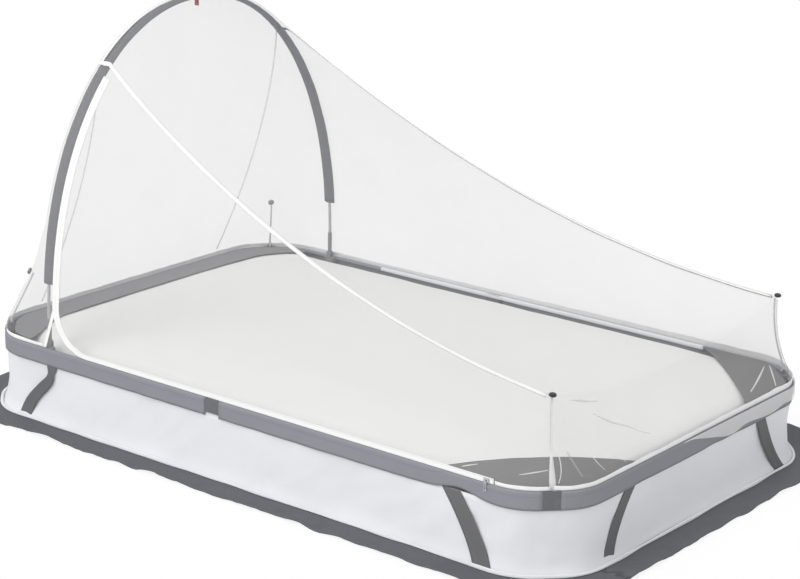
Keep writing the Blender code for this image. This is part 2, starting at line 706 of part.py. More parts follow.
def make_arch():
    pole_finish = material("arch_pole", POLE_GREY, 0.40, 0.6)
    curve = [(ARCH_X, *arch_point(angle)) for angle in arch_angles(ARCH_SPRING_Z + FOOT_RADIUS * 2)]
    legs = [(ARCH_X, ARCH_HALF, POLE_END_Z + GAP), (ARCH_X, ARCH_HALF, ARCH_SPRING_Z)]
    line = legs + curve + [(x, -y, z) for x, y, z in legs[::-1]]
    pole = add_object("arch_pole", tube_mesh("arch_pole", line, POLE_RADIUS, 2), pole_finish)
    sleeve = make_arch_sleeve(material("arch_sleeve", ARCH_GREY, 0.85))
    feet = [make_arch_foot(side) for side in (FRONT, BACK)]
    for side in (FRONT, BACK):
        make_bracket(side)
    hang_on("arch_hinge", (ARCH_X, 0.0, ARCH_PIVOT_Z), [pole, sleeve, make_hang_tab(), *feet])


SLEEVE_SECTION_DEGREES = (0, 48, 90, 132, 180, 228, 270, 312)


def make_arch_sleeve(finish):
    """Flat sleeve: an open oval tube along the arch, thickened inward round the pole."""
    line = [(ARCH_X, *arch_point(angle)) for angle in arch_angles(ARCH_SLEEVE_LOW)]
    half = ARCH_SLEEVE_WIDTH / 2
    turns = [math.radians(degrees) for degrees in SLEEVE_SECTION_DEGREES]
    across = [(math.cos(turn), math.sin(turn)) for turn in turns]
    shape = bmesh.new()
    rings = []
    wide = Vector((1, 0, 0))
    for k, point in enumerate(line):
        before, after = Vector(line[max(0, k - 1)]), Vector(line[min(len(line) - 1, k + 1)])
        outward = wide.cross((after - before).normalized())
        rings.append([shape.verts.new(Vector(point) + wide * half * c + outward * SLEEVE_OUTER * d)
                      for c, d in across])
    for near, far in zip(rings, rings[1:]):
        for j in range(len(across)):
            nxt = (j + 1) % len(across)
            shape.faces.new((near[j], near[nxt], far[nxt], far[j]))
    bmesh.ops.recalc_face_normals(shape, faces=shape.faces)
    mesh = bpy.data.meshes.new("arch_sleeve")
    shape.to_mesh(mesh)
    shape.free()
    mesh.shade_smooth()
    sleeve = add_object("arch_sleeve", mesh, finish)
    solid = sleeve.modifiers.new("cloth thickness", "SOLIDIFY")
    solid.thickness = SLEEVE_CLOTH
    solid.offset = -1.0
    solid.use_even_offset = False
    return sleeve


def make_arch_foot(side):
    """Ferrule on the pole end with a flat eye that turns on the bracket pin."""
    name = f"arch_foot_{SIDE_NAME[side]}"
    y = side * ARCH_HALF
    finish = material("arch_foot", BLOCK_GREY, 0.50)
    eye = rod_mesh(name, (ARCH_X, y - EYE_THICKNESS / 2, ARCH_PIVOT_Z),
                   (ARCH_X, y + EYE_THICKNESS / 2, ARCH_PIVOT_Z), FOOT_EYE_RADIUS, 20)
    foot = add_object(name, eye, finish)
    tall = FOOT_EYE_RADIUS + FOOT_RADIUS / 2
    neck = box_mesh(f"{name}_neck", (2 * FOOT_RADIUS, EYE_THICKNESS - 2 * PLAY, tall),
                    (ARCH_X, y, ARCH_PIVOT_Z + tall / 2))
    combine(foot, add_object(f"{name}_neck", neck, group=cutters), "UNION")
    cup_low = ARCH_PIVOT_Z + BRACKET_EAR_RADIUS + 2 * PLAY
    cup_top = ARCH_SPRING_Z
    cup = rod_mesh(f"{name}_cup", (ARCH_X, y, cup_low), (ARCH_X, y, cup_top), FOOT_RADIUS, 16)
    combine(foot, add_object(f"{name}_cup", cup, group=cutters), "UNION")
    hole = rod_mesh(f"{name}_hole", (ARCH_X, y, POLE_END_Z),
                    (ARCH_X, y, cup_top + CUT_OVERRUN), POLE_RADIUS + GAP, 16)
    combine(foot, add_object(f"{name}_hole", hole, group=cutters), "DIFFERENCE")
    reach = EYE_THICKNESS / 2 + CUT_OVERRUN
    bore = rod_mesh(f"{name}_bore", (ARCH_X, y - reach, ARCH_PIVOT_Z), (ARCH_X, y + reach, ARCH_PIVOT_Z),
                    BRACKET_PIN_RADIUS + PLAY, 16)
    combine(foot, add_object(f"{name}_bore", bore, group=cutters), "DIFFERENCE")
    return foot


def make_bracket(side):
    """Saddle that sits on the pole sleeve inside the rim and carries the arch foot's pin."""
    name = f"arch_bracket_{SIDE_NAME[side]}"
    finish = material("arch_bracket", BLOCK_GREY, 0.50)
    y = side * ARCH_HALF
    outer = HALF_WIDTH - CHANNEL_RADIUS
    size = (BRACKET_LENGTH, BRACKET_DEPTH + CHANNEL_RADIUS, BRACKET_HEIGHT)
    centre = (ARCH_X, side * (outer - size[1] / 2), RIM_TOP - BRACKET_HEIGHT / 2)
    saddle = add_object(name, box_mesh(name, size, centre), finish)
    bevel(saddle, EAR_THICKNESS / 2, 2)
    reach = BRACKET_LENGTH / 2 + CUT_OVERRUN
    seat = rod_mesh(f"{name}_seat", (ARCH_X - reach, side * outer, ROD_Z),
                    (ARCH_X + reach, side * outer, ROD_Z), CHANNEL_RADIUS + GAP, 24)
    combine(saddle, add_object(f"{name}_seat", seat, group=cutters), "DIFFERENCE")
    slot = EYE_THICKNESS / 2 + PLAY
    for offset in (-slot - EAR_THICKNESS / 2, slot + EAR_THICKNESS / 2):
        place = frame_matrix((ARCH_X, y + offset, ARCH_PIVOT_Z), (1, 0, 0), (0, 0, 1))
        ear = plate_mesh(f"{name}_ear", [ear_outline(BRACKET_EAR_RADIUS, BRACKET_RISE + CUT_OVERRUN)],
                         EAR_THICKNESS, place)
        combine(saddle, add_object(f"{name}_ear", ear, group=cutters), "UNION")
    half_pin = slot + EAR_THICKNESS + PLAY
    pin = rod_mesh(f"{name}_pin", (ARCH_X, y - half_pin, ARCH_PIVOT_Z),
                   (ARCH_X, y + half_pin, ARCH_PIVOT_Z), BRACKET_PIN_RADIUS)
    combine(saddle, add_object(f"{name}_pin", pin, group=cutters), "UNION")


def make_hang_tab():
    """Small plain loop sewn under the top of the arch sleeve."""
    low = ARCH_TOP_Z - SLEEVE_OUTER - GAP
    size = (TAB_WIDTH, TAB_THICKNESS, TAB_LENGTH)
    mesh = box_mesh("hang_tab", size, (ARCH_X, 0.0, low - TAB_LENGTH / 2))
    tab = add_object("hang_tab", mesh, material("hang_tab", TAB_RED, 0.8))
    bevel(tab, TAB_THICKNESS / 4, 1)
    return tab


# Stays and their caps
def corner_line(end, s):
    """The net's corner line above a rim corner, back half, s from the rise (0) upward."""
    return Vector(side_point(1.0, s)) if end == FOOT else Vector(gusset_point(GUSSET_CORNER, s))


def stay_top_share(end):
    return 1.0 if end == FOOT else HEAD_STAY_HEIGHT / (SHOULDER_Z - NET_LOW_Z)


def stay_line(end, side, pivot):
    """Rod upright in its clevis, then leaning in just inside the net's corner line."""
    low_z = pivot.z + EYE_RADIUS - PIN_RADIUS / 2
    high_z = corner_line(end, stay_top_share(end)).z - STAY_TIP_DROP
    ridge_z = corner_line(end, 1.0).z
    upright = PIVOT_INSET / math.sqrt(2)
    places = []
    for share in shares(9):
        z = mix(low_z, high_z, share)
        net = corner_line(end, max(0.0, (z - NET_LOW_Z) / (ridge_z - NET_LOW_Z)))
        leans = (CORNER_X - abs(net.x) + STAY_TIP_INSET, CORNER_Y - net.y + STAY_TIP_INSET)
        inset = [(upright ** STAY_LEAN_POWER + lean ** STAY_LEAN_POWER) ** (1 / STAY_LEAN_POWER)
                 for lean in leans]
        places.append((end * (CORNER_X - inset[0]), side * (CORNER_Y - inset[1]), z))
    return places


def make_stay(end, side):
    """Flexible rod on a flat eye, bowed inward by the pull of the net on its tip."""
    label = f"{END_NAME[end]}_{SIDE_NAME[side]}"
    pivot = stay_pivot(end, side)
    line = stay_line(end, side, pivot)
    name = f"stay_{label}"
    along = diagonal(end, side)[1]
    half_eye = along * EYE_THICKNESS / 2
    eye = rod_mesh(name, pivot - half_eye, pivot + half_eye, EYE_RADIUS, 16)
    stay = add_object(name, eye, material("stay", POLE_GREY, 0.45, 0.3))
    rod = tube_mesh(f"{name}_rod", line, STAY_RADIUS, 1)
    combine(stay, add_object(f"{name}_rod", rod, group=cutters), "UNION")
    collar = rod_mesh(f"{name}_collar", (pivot.x, pivot.y, pivot.z + EAR_RADIUS + PLAY),
                      (pivot.x, pivot.y, pivot.z + EAR_RADIUS + STAY_COLLAR_LENGTH), STAY_COLLAR_RADIUS, 16)
    combine(stay, add_object(f"{name}_collar", collar, group=cutters), "UNION")
    reach = EYE_THICKNESS / 2 + CUT_OVERRUN
    bore = rod_mesh(f"{name}_bore", pivot - along * reach, pivot + along * reach, PIN_RADIUS + PLAY, 16)
    combine(stay, add_object(f"{name}_bore", bore, group=cutters), "DIFFERENCE")
    hang_on(f"{name}_hinge", pivot, [stay, make_cap(label, end, side)])


CAP_PROFILE_SHARES = ((0.0, 1.0), (0.60, 0.97), (0.90, 0.80), (1.0, 0.55), (1.0, 0.30),
                      (0.80, 0.08), (0.45, 0.0), (0.0, 0.0))
RIDGE_NEAR_PEAK_SHARE = 0.95
CORNER_BELOW_CAP_SHARE = 0.9


def make_cap(label, end, side):
    """Round button that pinches the net on the stay, turned from its profile."""
    mesh = bpy.data.meshes.new(f"stay_cap_{label}")
    profile = [(CAP_RADIUS * x, 0.0, CAP_HEIGHT * z) for x, z in CAP_PROFILE_SHARES]
    mesh.from_pydata(profile, [(k, k + 1) for k in range(len(profile) - 1)], [])
    cap = add_object(f"stay_cap_{label}", mesh, material("stay_cap", CAP_BLACK, 0.45))
    turn = cap.modifiers.new("turn", "SCREW")
    turn.axis = "Z"
    turn.steps = 16
    turn.render_steps = 16
    turn.use_merge_vertices = True
    turn.merge_threshold = GAP / 10
    turn.use_normal_calculate = True
    top = stay_top_share(end)
    tip = corner_line(end, top)
    if end == FOOT:
        along, outward = Vector(ridge_point(RIDGE_NEAR_PEAK_SHARE)) - tip, Vector((0, 0, 1))
    else:
        along = corner_line(end, CORNER_BELOW_CAP_SHARE * top) - tip
        before = Vector(gusset_point(GUSSET_CORNER * GUSSET_HEAD_SHARES[-1], top))
        after = Vector(gusset_point(mix(GUSSET_CORNER, 1.0, GUSSET_SIDE_SHARES[1]), top))
        outward = (after - before).cross(along).normalized()
        outward *= math.copysign(1.0, outward.x * end)
    along.normalize()
    outward = (outward - along * outward.dot(along)).normalized()
    tip.y *= side
    outward.y *= side
    cap.rotation_mode = "QUATERNION"
    cap.rotation_quaternion = outward.to_track_quat("Z", "Y")
    cap.location = tip + outward * (FOOT_CAP_SEAT if end == FOOT else HEAD_CAP_SEAT)
    return cap


# Walls, ground sheet and straps
WALL_ROLL_POWER = 6


def wall_offset(share):
    """How far the wall stands out at a share of its height: drawn in midway, rolled at its foot."""
    return -WALL_SAG * math.sin(math.pi * share) + WALL_FOOT_ROLL * (1 - share) ** WALL_ROLL_POWER


WALL_LEVEL_SHARES = (0.0, 0.05, 0.14, 0.32, 0.60, 1.0)
WALL_LOW = GROUND_TOP + GAP + WALL_FOOT_ROLL / 10
WALL_HIGH = RIM_TOP - WALL_TOP_DROP


def make_walls():
    """One wall a side, from corner middle to corner middle, following the plan of the rim."""
    finish = material("wall", WALL_WHITE, 0.9)
    corners = {"front": ((HEAD, FRONT), (FOOT, FRONT)), "back": ((HEAD, BACK), (FOOT, BACK)),
               "head": ((HEAD, FRONT), (HEAD, BACK)), "foot": ((FOOT, FRONT), (FOOT, BACK))}
    for name, (first, last) in corners.items():
        stations = side_stations(first, last, WALL_INSET, SEAM_GAP / 2, 5)
        rows = []
        for share in WALL_LEVEL_SHARES:
            up = Vector((0.0, 0.0, mix(WALL_LOW, WALL_HIGH, share)))
            rows.append([place + outward * wall_offset(share) + up for place, outward in stations])
        sheet(f"wall_{name}", rows, WALL_CLOTH, finish)


def make_straps():
    """Flat webbing over the walls, each leaning towards its corner as it goes down."""
    finish = material("strap", STRAP_GREY, 0.8)
    lift = WALL_CLOTH / 2 + WEBBING / 2 + GAP
    for end in (HEAD, FOOT):
        for side in (FRONT, BACK):
            for run in ("side", "end"):
                rows = []
                for share in WALL_LEVEL_SHARES:
                    z = mix(WALL_LOW, WALL_HIGH, share)
                    from_corner = mix(STRAP_FOOT_FROM_CORNER, STRAP_TOP_FROM_CORNER, share)
                    out = wall_offset(share) + lift - WALL_INSET
                    row = []
                    for across in (-0.5, 0.0, 0.5):
                        along = from_corner + across * STRAP_WIDTH
                        if run == "side":
                            row.append((end * (HALF_LENGTH - along), side * (HALF_WIDTH + out), z))
                        else:
                            row.append((end * (HALF_LENGTH + out), side * (HALF_WIDTH - along), z))
                    rows.append(row)
                name = f"strap_{END_NAME[end]}_{SIDE_NAME[side]}_{run}"
                sheet(name, rows, WEBBING, finish)


def make_ground_sheet():
    """Flat floor with a skirt round it, its top edge eased."""
    half_x, half_y, r = HALF_LENGTH + SKIRT_WIDTH, HALF_WIDTH + SKIRT_WIDTH, SKIRT_CORNER_RADIUS
    outline = []
    for k, (sx, sy) in enumerate(((1, 1), (-1, 1), (-1, -1), (1, -1))):
        start = k * math.pi / 2
        outline += arc_points((sx * (half_x - r), sy * (half_y - r)), r, start, start + math.pi / 2, 10)
    place = Matrix.Translation((0, 0, GROUND_THICKNESS / 2))
    mesh = plate_mesh("ground_sheet", [outline], GROUND_THICKNESS, place)
    add_object("ground_sheet", mesh, material("ground_sheet", SKIRT_GREY, 0.7))


# Mattress and the grey panels on it
CROWN_END_POWER = 6
CROWN_SIDE_POWER = 4
UNDERSIDE_SHARE = 0.45
UNDERSIDE_ROUND_SHARES = ((0.55, 0.0), (0.12, 0.35))
SHOULDER_DEGREES = (0, 30, 60, 90)
CROWN_RING_SHARES = (0.13, 0.25, 0.45, 0.72)
RISE_FROM_SHARE = 0.6


def mattress_top(x, y):
    """Height of the crowned top, flat in the middle and falling to its edge."""
    fall_x = 1 - min(1.0, abs(x) / HALF_LENGTH) ** CROWN_END_POWER
    fall_y = 1 - min(1.0, abs(y) / HALF_WIDTH) ** CROWN_SIDE_POWER
    return RIM_TOP - MATTRESS_EDGE_DROP + MATTRESS_CROWN * fall_x * fall_y


def rounded_outline(half_x, half_y, radius, per_corner, per_long, per_short):
    """Rounded rectangle with points along its straights, counter-clockwise from +X."""
    places = []
    corners = ((1, 1), (-1, 1), (-1, -1), (1, -1))
    counts = (per_long, per_short, per_long, per_short)
    for k, (sx, sy) in enumerate(corners):
        start = k * math.pi / 2
        centre = (sx * (half_x - radius), sy * (half_y - radius))
        arc = arc_points(centre, radius, start, start + math.pi / 2, per_corner)
        places += arc
        nx, ny = corners[(k + 1) % 4]
        ahead = (nx * (half_x - radius), ny * (half_y - radius))
        first = arc[-1]
        second = (ahead[0] + radius * math.cos(start + math.pi / 2),
                  ahead[1] + radius * math.sin(start + math.pi / 2))
        places += [(mix(first[0], second[0], j / counts[k]), mix(first[1], second[1], j / counts[k]))
                   for j in range(1, counts[k])]
    return places


def make_mattress():
    """Closed crowned pad: rings from the flat underside, up drawn-in sides, over the crown."""
    half_x, half_y = HALF_LENGTH - MATTRESS_END_GAP, HALF_WIDTH - MATTRESS_SIDE_GAP
    base = GROUND_TOP + GAP
    lip = RIM_TOP - MATTRESS_EDGE_DROP
    r = MATTRESS_SHOULDER
    rise_from = mix(base, lip, RISE_FROM_SHARE)
    rings = [(UNDERSIDE_SHARE * half_y, base, False)]
    rings += [(r * inward, base + r * up, False) for inward, up in UNDERSIDE_ROUND_SHARES]
    rings.append((MATTRESS_SIDE_DRAW, (base + lip) / 2, False))
    for degrees in SHOULDER_DEGREES:
        turn = math.radians(degrees)
        rings.append((r * (1 - math.cos(turn)), lip - r + r * math.sin(turn), False))
    rings += [(share * half_y, 0.0, True) for share in CROWN_RING_SHARES]
    shape = bmesh.new()
    loops = []
    for inset, height, crowned in rings:
        corner = max(MATTRESS_CORNER_RADIUS - inset, MATTRESS_CORNER_RADIUS / 4)
        loop = []
        for x, y in rounded_outline(half_x - inset, half_y - inset, corner, 4, 8, 5):
            z = mattress_top(x, y) - GAP if crowned else height
            if not crowned and height > rise_from:
                z += (mattress_top(x, y) - lip) * (height - rise_from) / (lip - rise_from)
            loop.append(shape.verts.new((x, y, z)))
        loops.append(loop)
    for near, far in zip(loops, loops[1:]):
        for j in range(len(near)):
            nxt = (j + 1) % len(near)
            shape.faces.new((near[j], near[nxt], far[nxt], far[j]))
    shape.faces.new(loops[0])
    crown = shape.verts.new((0.0, 0.0, mattress_top(0.0, 0.0) - GAP))
    for j in range(len(loops[-1])):
        shape.faces.new((loops[-1][j], loops[-1][(j + 1) % len(loops[-1])], crown))
    mesh = mesh_from_bmesh("mattress", shape)
    mesh.shade_smooth()
    add_object("mattress", mesh, material("mattress", PAD_WHITE, 0.9))


def panel_height(x, y):
    """Cloth that lies on the mattress and meets the rim sleeves at its edges."""
    return mattress_top(x, y) + PANEL_REST + PANEL_CLOTH / 2


def make_pockets():
    """Grey corner pockets at the foot: sewn along both rims, their free edge across the pad."""
    finish = material("corner_pocket", PANEL_GREY, 0.8)
    edge = 2 * CHANNEL_RADIUS + GAP
    for side in (FRONT, BACK):
        rows = []
        for share in shares(6):
            way = mix(POCKET_CORNER_CUT, POCKET_RUN, share)
            first, second = (plan_point(way, edge, FOOT, side, run)[0] for run in ("long", "short"))
            row = []
            for across in shares(8):
                x, y = mix(first.x, second.x, across), mix(first.y, second.y, across)
                row.append((x, y, panel_height(x, y)))
            rows.append(row)
        sheet(f"corner_pocket_{SIDE_NAME[side]}", rows, PANEL_CLOTH, finish)


def head_edge(y, inset):
    """Place in X of the rim's plan at a distance Y on the head side and round its corners."""
    ways = bend_ways(inset)
    line = [plan_point(way, inset, HEAD, BACK, "short")[0] for way in ways[::-1]]
    line += [plan_point(way, inset, HEAD, BACK, "long")[0] for way in ways]
    line = [Vector((line[0].x, 0.0, 0.0))] + line
    k, across = interval([place.y for place in line], abs(y))
    return mix(line[k].x, line[k + 1].x, min(1.0, across))


HEAD_PANEL_LEVEL_SHARE = 0.68


def make_head_panel():
    """Grey strip across the head, its inner edge running out along both long rims."""
    finish = material("head_panel", PANEL_GREY, 0.8)
    edge = 2 * CHANNEL_RADIUS + GAP
    span = HALF_WIDTH - HEAD_PANEL_CORNER_INSET
    bend_start = HALF_WIDTH - CORNER_REACH
    rows = []
    for y_share in [k / 12 - 1 for k in range(25)]:
        y = y_share * span
        at_corner = smooth((abs(y) - bend_start) / HEAD_PANEL_EASE)
        outer = mix(head_edge(y, edge), head_edge(y, HEAD_PANEL_CORNER_INSET), at_corner)
        spread = smooth((abs(y_share) - HEAD_PANEL_LEVEL_SHARE) / (1 - HEAD_PANEL_LEVEL_SHARE))
        inner = -HALF_LENGTH + edge + mix(HEAD_PANEL_WIDTH, HEAD_PANEL_LEG, spread)
        rows.append([(mix(outer, inner, share), y, panel_height(mix(outer, inner, share), y))
                     for share in shares(4)])
    sheet("head_panel", rows, PANEL_CLOTH, finish)


# Net panels, seam tapes and the door zip
def dropped(row):
    """The lowest row of a panel: the row above it let straight down to the rim."""
    return [(x, y, NET_RIM_Z) for x, y, z in row]


def make_net_side(side):
    """Side panel with its head gusset: one cloth from the head seam past the arch to the foot."""
    seam_share = SEAM_GAP / (2 * HALF_WIDTH)
    rows = []
    for k in range(len(levels(1.0))):
        row = []
        tall = SHOULDER_Z - NET_LOW_Z
        for a in GUSSET_SHARES:
            row.append(gusset_point(mix(seam_share, 1.0, a), min(levels(tall)[k], 1 - SEAM_GAP / tall)))
        for u in SIDE_SHARES:
            tall = ridge_point(u)[2] - NET_LOW_Z
            x, y, z = side_point(u, min(levels(tall)[k], 1 - SEAM_GAP / tall))
            row.append((x - SEAM_GAP / 2 * u, y, z))
        rows.append([(x, side * y, z) for x, y, z in row])
    rows.insert(0, dropped(rows[0]))
    sheet(f"net_{SIDE_NAME[side]}", rows, NET_THICKNESS, material("net", NET_WHITE, 0.9))


def make_net_roof():
    """Middle strip: up from the head rim, over the arch sleeve and down to the foot peaks."""
    rows = []
    for s in levels(SHOULDER_Z - NET_LOW_Z):
        half = strip_half_width(s)
        rows.append([head_strip_point(s, v * (1 - SEAM_GAP / half)) for v in columns(half)])
    rows.insert(0, dropped(rows[0]))
    for u in SIDE_SHARES:
        half = ridge_point(u)[1]
        rows.append([roof_point(u, v * (1 - SEAM_GAP / half)) for v in columns(half)])
    sheet("net_roof", rows, NET_THICKNESS, material("net", NET_WHITE, 0.9))


def roof_edge(v):
    """Foot edge of the roof strip as its flat facets end there."""
    across = columns(PEAK_Y)
    k, share = interval(across, v)
    return Vector(roof_point(1.0, across[k])).lerp(Vector(roof_point(1.0, across[k + 1])), share)


def make_net_foot():
    """Foot panel between the two peaks and the foot rim, flared outward at the rim."""
    back = [*FOOT_COLUMN_SHARES, 1 - NET_EDGE_ROW / PEAK_Y, 1.0]
    rows = []
    for s in FOOT_LEVEL_SHARES:
        row = []
        for v in [-v for v in back[:0:-1]] + back:
            top = roof_edge(v)
            half = BACK if v >= 0 else FRONT
            rim = plan_point((1 - abs(v)) * FOOT_RUN, NET_RIM_INSET, FOOT, half, "short")[0]
            up = s if s < 1 else 1 - SEAM_GAP / (top.z - NET_LOW_Z)
            x = mix(rim.x, top.x, foot_flare(up)) + SEAM_GAP / 2
            y = mix(rim.y, top.y, foot_flare(up)) * (1 - SEAM_GAP / NET_RIM_Y)
            row.append((x, y, mix(NET_LOW_Z, top.z, up)))
        rows.append(row)
    rows.insert(0, dropped(rows[0]))
    sheet("net_foot", rows, NET_THICKNESS, material("net", NET_WHITE, 0.9))


def make_seam_tape(side):
    """White binding over the ridge seam, from the arch sleeve to the foot peak."""
    places = []
    for u in SIDE_SHARES:
        seam = Vector(ridge_point(u))
        outer = Vector(side_point(u, levels(seam.z - NET_LOW_Z)[-2]))
        inner = Vector(roof_point(u, columns(seam.y)[-2]))
        places.append((seam, outer, inner))
    lift = NET_THICKNESS / 2 + SEAM_TAPE_THICKNESS / 2 + SEAM_TAPE_REST
    rows = []
    for k, (seam, outer, inner) in enumerate(places):
        along = (places[min(k + 1, len(places) - 1)][0] - places[max(k - 1, 0)][0]).normalized()
        down, roof = [(p - seam - along * (p - seam).dot(along)).normalized() for p in (outer, inner)]
        over_side, over_roof = along.cross(down), roof.cross(along)
        over_side *= math.copysign(1.0, over_side.y)
        over_roof *= math.copysign(1.0, over_roof.z)
        middle = (over_side + over_roof).normalized()
        rows.append([seam + down * (SEAM_TAPE_WIDTH / 2) + over_side * lift,
                     seam + middle * (lift / middle.dot(over_side)),
                     seam + roof * (SEAM_TAPE_WIDTH / 2) + over_roof * lift])
    rows[-1] = [near.lerp(far, SEAM_TAPE_END_SHARE) for near, far in zip(rows[-2], rows[-1])]
    rows = [[(p.x, side * p.y, p.z) for p in row] for row in rows]
    finish = material("tape", TAPE_WHITE, 0.85)
    sheet(f"seam_tape_{SIDE_NAME[side]}", rows, SEAM_TAPE_THICKNESS, finish)


def interval(values, value):
    """Which interval of a rising list holds a value, and the share of the way across it."""
    k = max(j for j in range(len(values) - 1) if values[j] <= value or j == 0)
    return k, (value - values[k]) / (values[k + 1] - values[k])


def side_facet(u, s):
    """Front side panel, turned to positive Y, as its flat facets lie at shares u and s."""
    k, across = interval(SIDE_SHARES, u)
    places = []
    for column in SIDE_SHARES[k:k + 2]:
        rows = levels(ridge_point(column)[2] - NET_LOW_Z)
        j, up = interval(rows, s)
        low, high = [Vector(side_point(column, rows[i])) for i in (j, j + 1)]
        places.append(low.lerp(high, up))
    return places[0].lerp(places[1], across)


def zip_point(x, s, lift):
    """Point at a lift over the front panel, at x and a share s of the panel's height."""
    u = (x - ARCH_X - FLAT_HALF) / SIDE_RUN
    place = side_facet(u, s)
    up, along = side_facet(u, s + NUDGE_SHARE) - place, side_facet(u + NUDGE_SHARE, s) - place
    out = up.cross(along).normalized()
    place += out * math.copysign(lift, out.y)
    return place.x, -place.y, place.z


def zip_low_point(x, height, lift):
    """The same at a height over the rim, where the lowest stretch of the panel is upright."""
    if height <= NET_RISE:
        return x, -(NET_RIM_Y + lift), NET_RIM_Z + height
    u = (x - ARCH_X - FLAT_HALF) / SIDE_RUN
    return zip_point(x, (height - NET_RISE) / (side_facet(u, 1.0).z - NET_LOW_Z), lift)


def make_door_zip():
    """One zip tape: down beside the arch sleeve, round a bend and along the rim to the foot."""
    lift = NET_THICKNESS / 2 + ZIP_THICKNESS / 2 + ZIP_REST
    upright_x = ARCH_X + FLAT_HALF + ZIP_BESIDE_SLEEVE
    low = ZIP_RIM_WIDTH / 2 + GAP
    tall = SHOULDER_Z - NET_LOW_Z
    top_share = 1 - ZIP_TOP_BELOW_SEAM / tall
    bend_share = (ZIP_BEND_HEIGHT + low - NET_RISE) / tall
    runs = [s for s in LEVEL_SHARES[::-1] if bend_share + ZIP_WIDTH / 2 / tall < s < top_share]
    across = (-0.5, 0.0, 0.5)
    rows = [[zip_point(upright_x - way * ZIP_WIDTH, s, lift) for way in across]
            for s in [top_share, *runs, bend_share]]
    line = [(upright_x, low + ZIP_BEND_HEIGHT, ZIP_WIDTH)]
    for share in shares(8)[1:]:
        turn = share * math.pi / 2
        line.append((upright_x + ZIP_BEND_REACH * (1 - math.cos(turn)),
                     low + ZIP_BEND_HEIGHT * (1 - math.sin(turn)), mix(ZIP_WIDTH, ZIP_RIM_WIDTH, share)))
    straight = (upright_x + ZIP_BEND_REACH, HALF_LENGTH - ZIP_END_FROM_FOOT)
    line += [(mix(*straight, share), low, ZIP_RIM_WIDTH) for share in shares(12)[1:]]
    for k, (x, height, width) in list(enumerate(line))[1:]:
        ahead = line[min(k + 1, len(line) - 1)]
        dx, dz = ahead[0] - line[k - 1][0], ahead[1] - line[k - 1][1]
        turn_x, turn_z = -dz * width / math.hypot(dx, dz), dx * width / math.hypot(dx, dz)
        rows.append([zip_low_point(x - turn_x * way, height - turn_z * way, lift) for way in across])
    sheet("door_zip", rows, ZIP_THICKNESS, material("zip_tape", TAPE_WHITE, 0.7))


def make_slider():
    """Slider on the zip where it runs along the rim, with a staple that holds its pull."""
    finish = material("slider", POLE_GREY, 0.35, 0.8)
    x = HALF_LENGTH - SLIDER_FROM_FOOT
    low = ZIP_RIM_WIDTH / 2 + GAP
    tape_face = NET_RIM_Y + NET_THICKNESS / 2 + ZIP_REST + ZIP_THICKNESS
    near = tape_face + GAP
    face = near + SLIDER_DEPTH
    z = NET_RIM_Z + low
    size = (SLIDER_LENGTH, SLIDER_DEPTH, SLIDER_WIDTH)
    body = box_mesh("zip_slider", size, (x, -(near + face) / 2, z))
    slider = add_object("zip_slider", body, finish)
    bevel(slider, SLIDER_DEPTH / 4, 2)
    inner = PULL_THICKNESS / 2 + PULL_PLAY
    outer = inner + STAPLE_THICKNESS
    sunk = -SLIDER_DEPTH / 4
    staple = [(sunk, -outer), (inner + outer, -outer), (inner + outer, outer), (sunk, outer),
              (sunk, inner), (2 * inner, inner), (2 * inner, -inner), (sunk, -inner)]
    place = frame_matrix((x, -face, z), (0, -1, 0), (0, 0, 1))
    loop = plate_mesh("zip_slider_staple", [staple], STAPLE_WIDTH, place)
    combine(slider, add_object("zip_slider_staple", loop, group=cutters), "UNION")
    half = PULL_WIDTH / 2
    side_bar = half - STAPLE_WIDTH / 2 - PULL_PLAY
    bar = PULL_THICKNESS / 2
    eye_low = -(math.hypot(inner, outer) + outer)
    ring_high, ring_low = eye_low - PULL_BRIDGE, PULL_BRIDGE - PULL_LENGTH
    inside = half - side_bar
    outline = [(-half, bar), (-half, -PULL_LENGTH), (half, -PULL_LENGTH), (half, bar)]
    eye = [(-inside, -bar), (inside, -bar), (inside, eye_low), (-inside, eye_low)]
    ring = [(-inside, ring_low), (inside, ring_low), (inside, ring_high), (-inside, ring_high)]
    axis = (x, -(face + inner), z)
    place = frame_matrix(axis, (1, 0, 0), (0, 0, 1))
    mesh = plate_mesh("zip_pull", [outline, eye, ring], PULL_THICKNESS, place)
    pull = add_object("zip_pull", mesh, finish)
    hang_on("zip_slide", (x, -face, z), [slider])
    hang_on("zip_pull_hinge", axis, [pull])


make_ground_sheet()
make_walls()
make_straps()
make_rim()
for end in (HEAD, FOOT):
    for side in (FRONT, BACK):
        make_connector(end, side)
        make_stay(end, side)
make_arch()
make_mattress()
make_pockets()
make_head_panel()
make_net_roof()
make_net_foot()
for side in (FRONT, BACK):
    make_net_side(side)
    make_seam_tape(side)
make_door_zip()
make_slider()

print(sum(thing.type == "MESH" for thing in tent.objects), "pieces")
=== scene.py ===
# %% [markdown]
# Mosquito net tent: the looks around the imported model.
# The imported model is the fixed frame. Its cloth is replaced by finer cloth here, while poles,
# joints and the slider keep their solids and get procedural finishes. Metres, +Z up, the head
# end at -X, the front with the door at -Y.

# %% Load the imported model
import math

import bmesh
import bpy
import numpy as np
from mathutils import Matrix, Vector


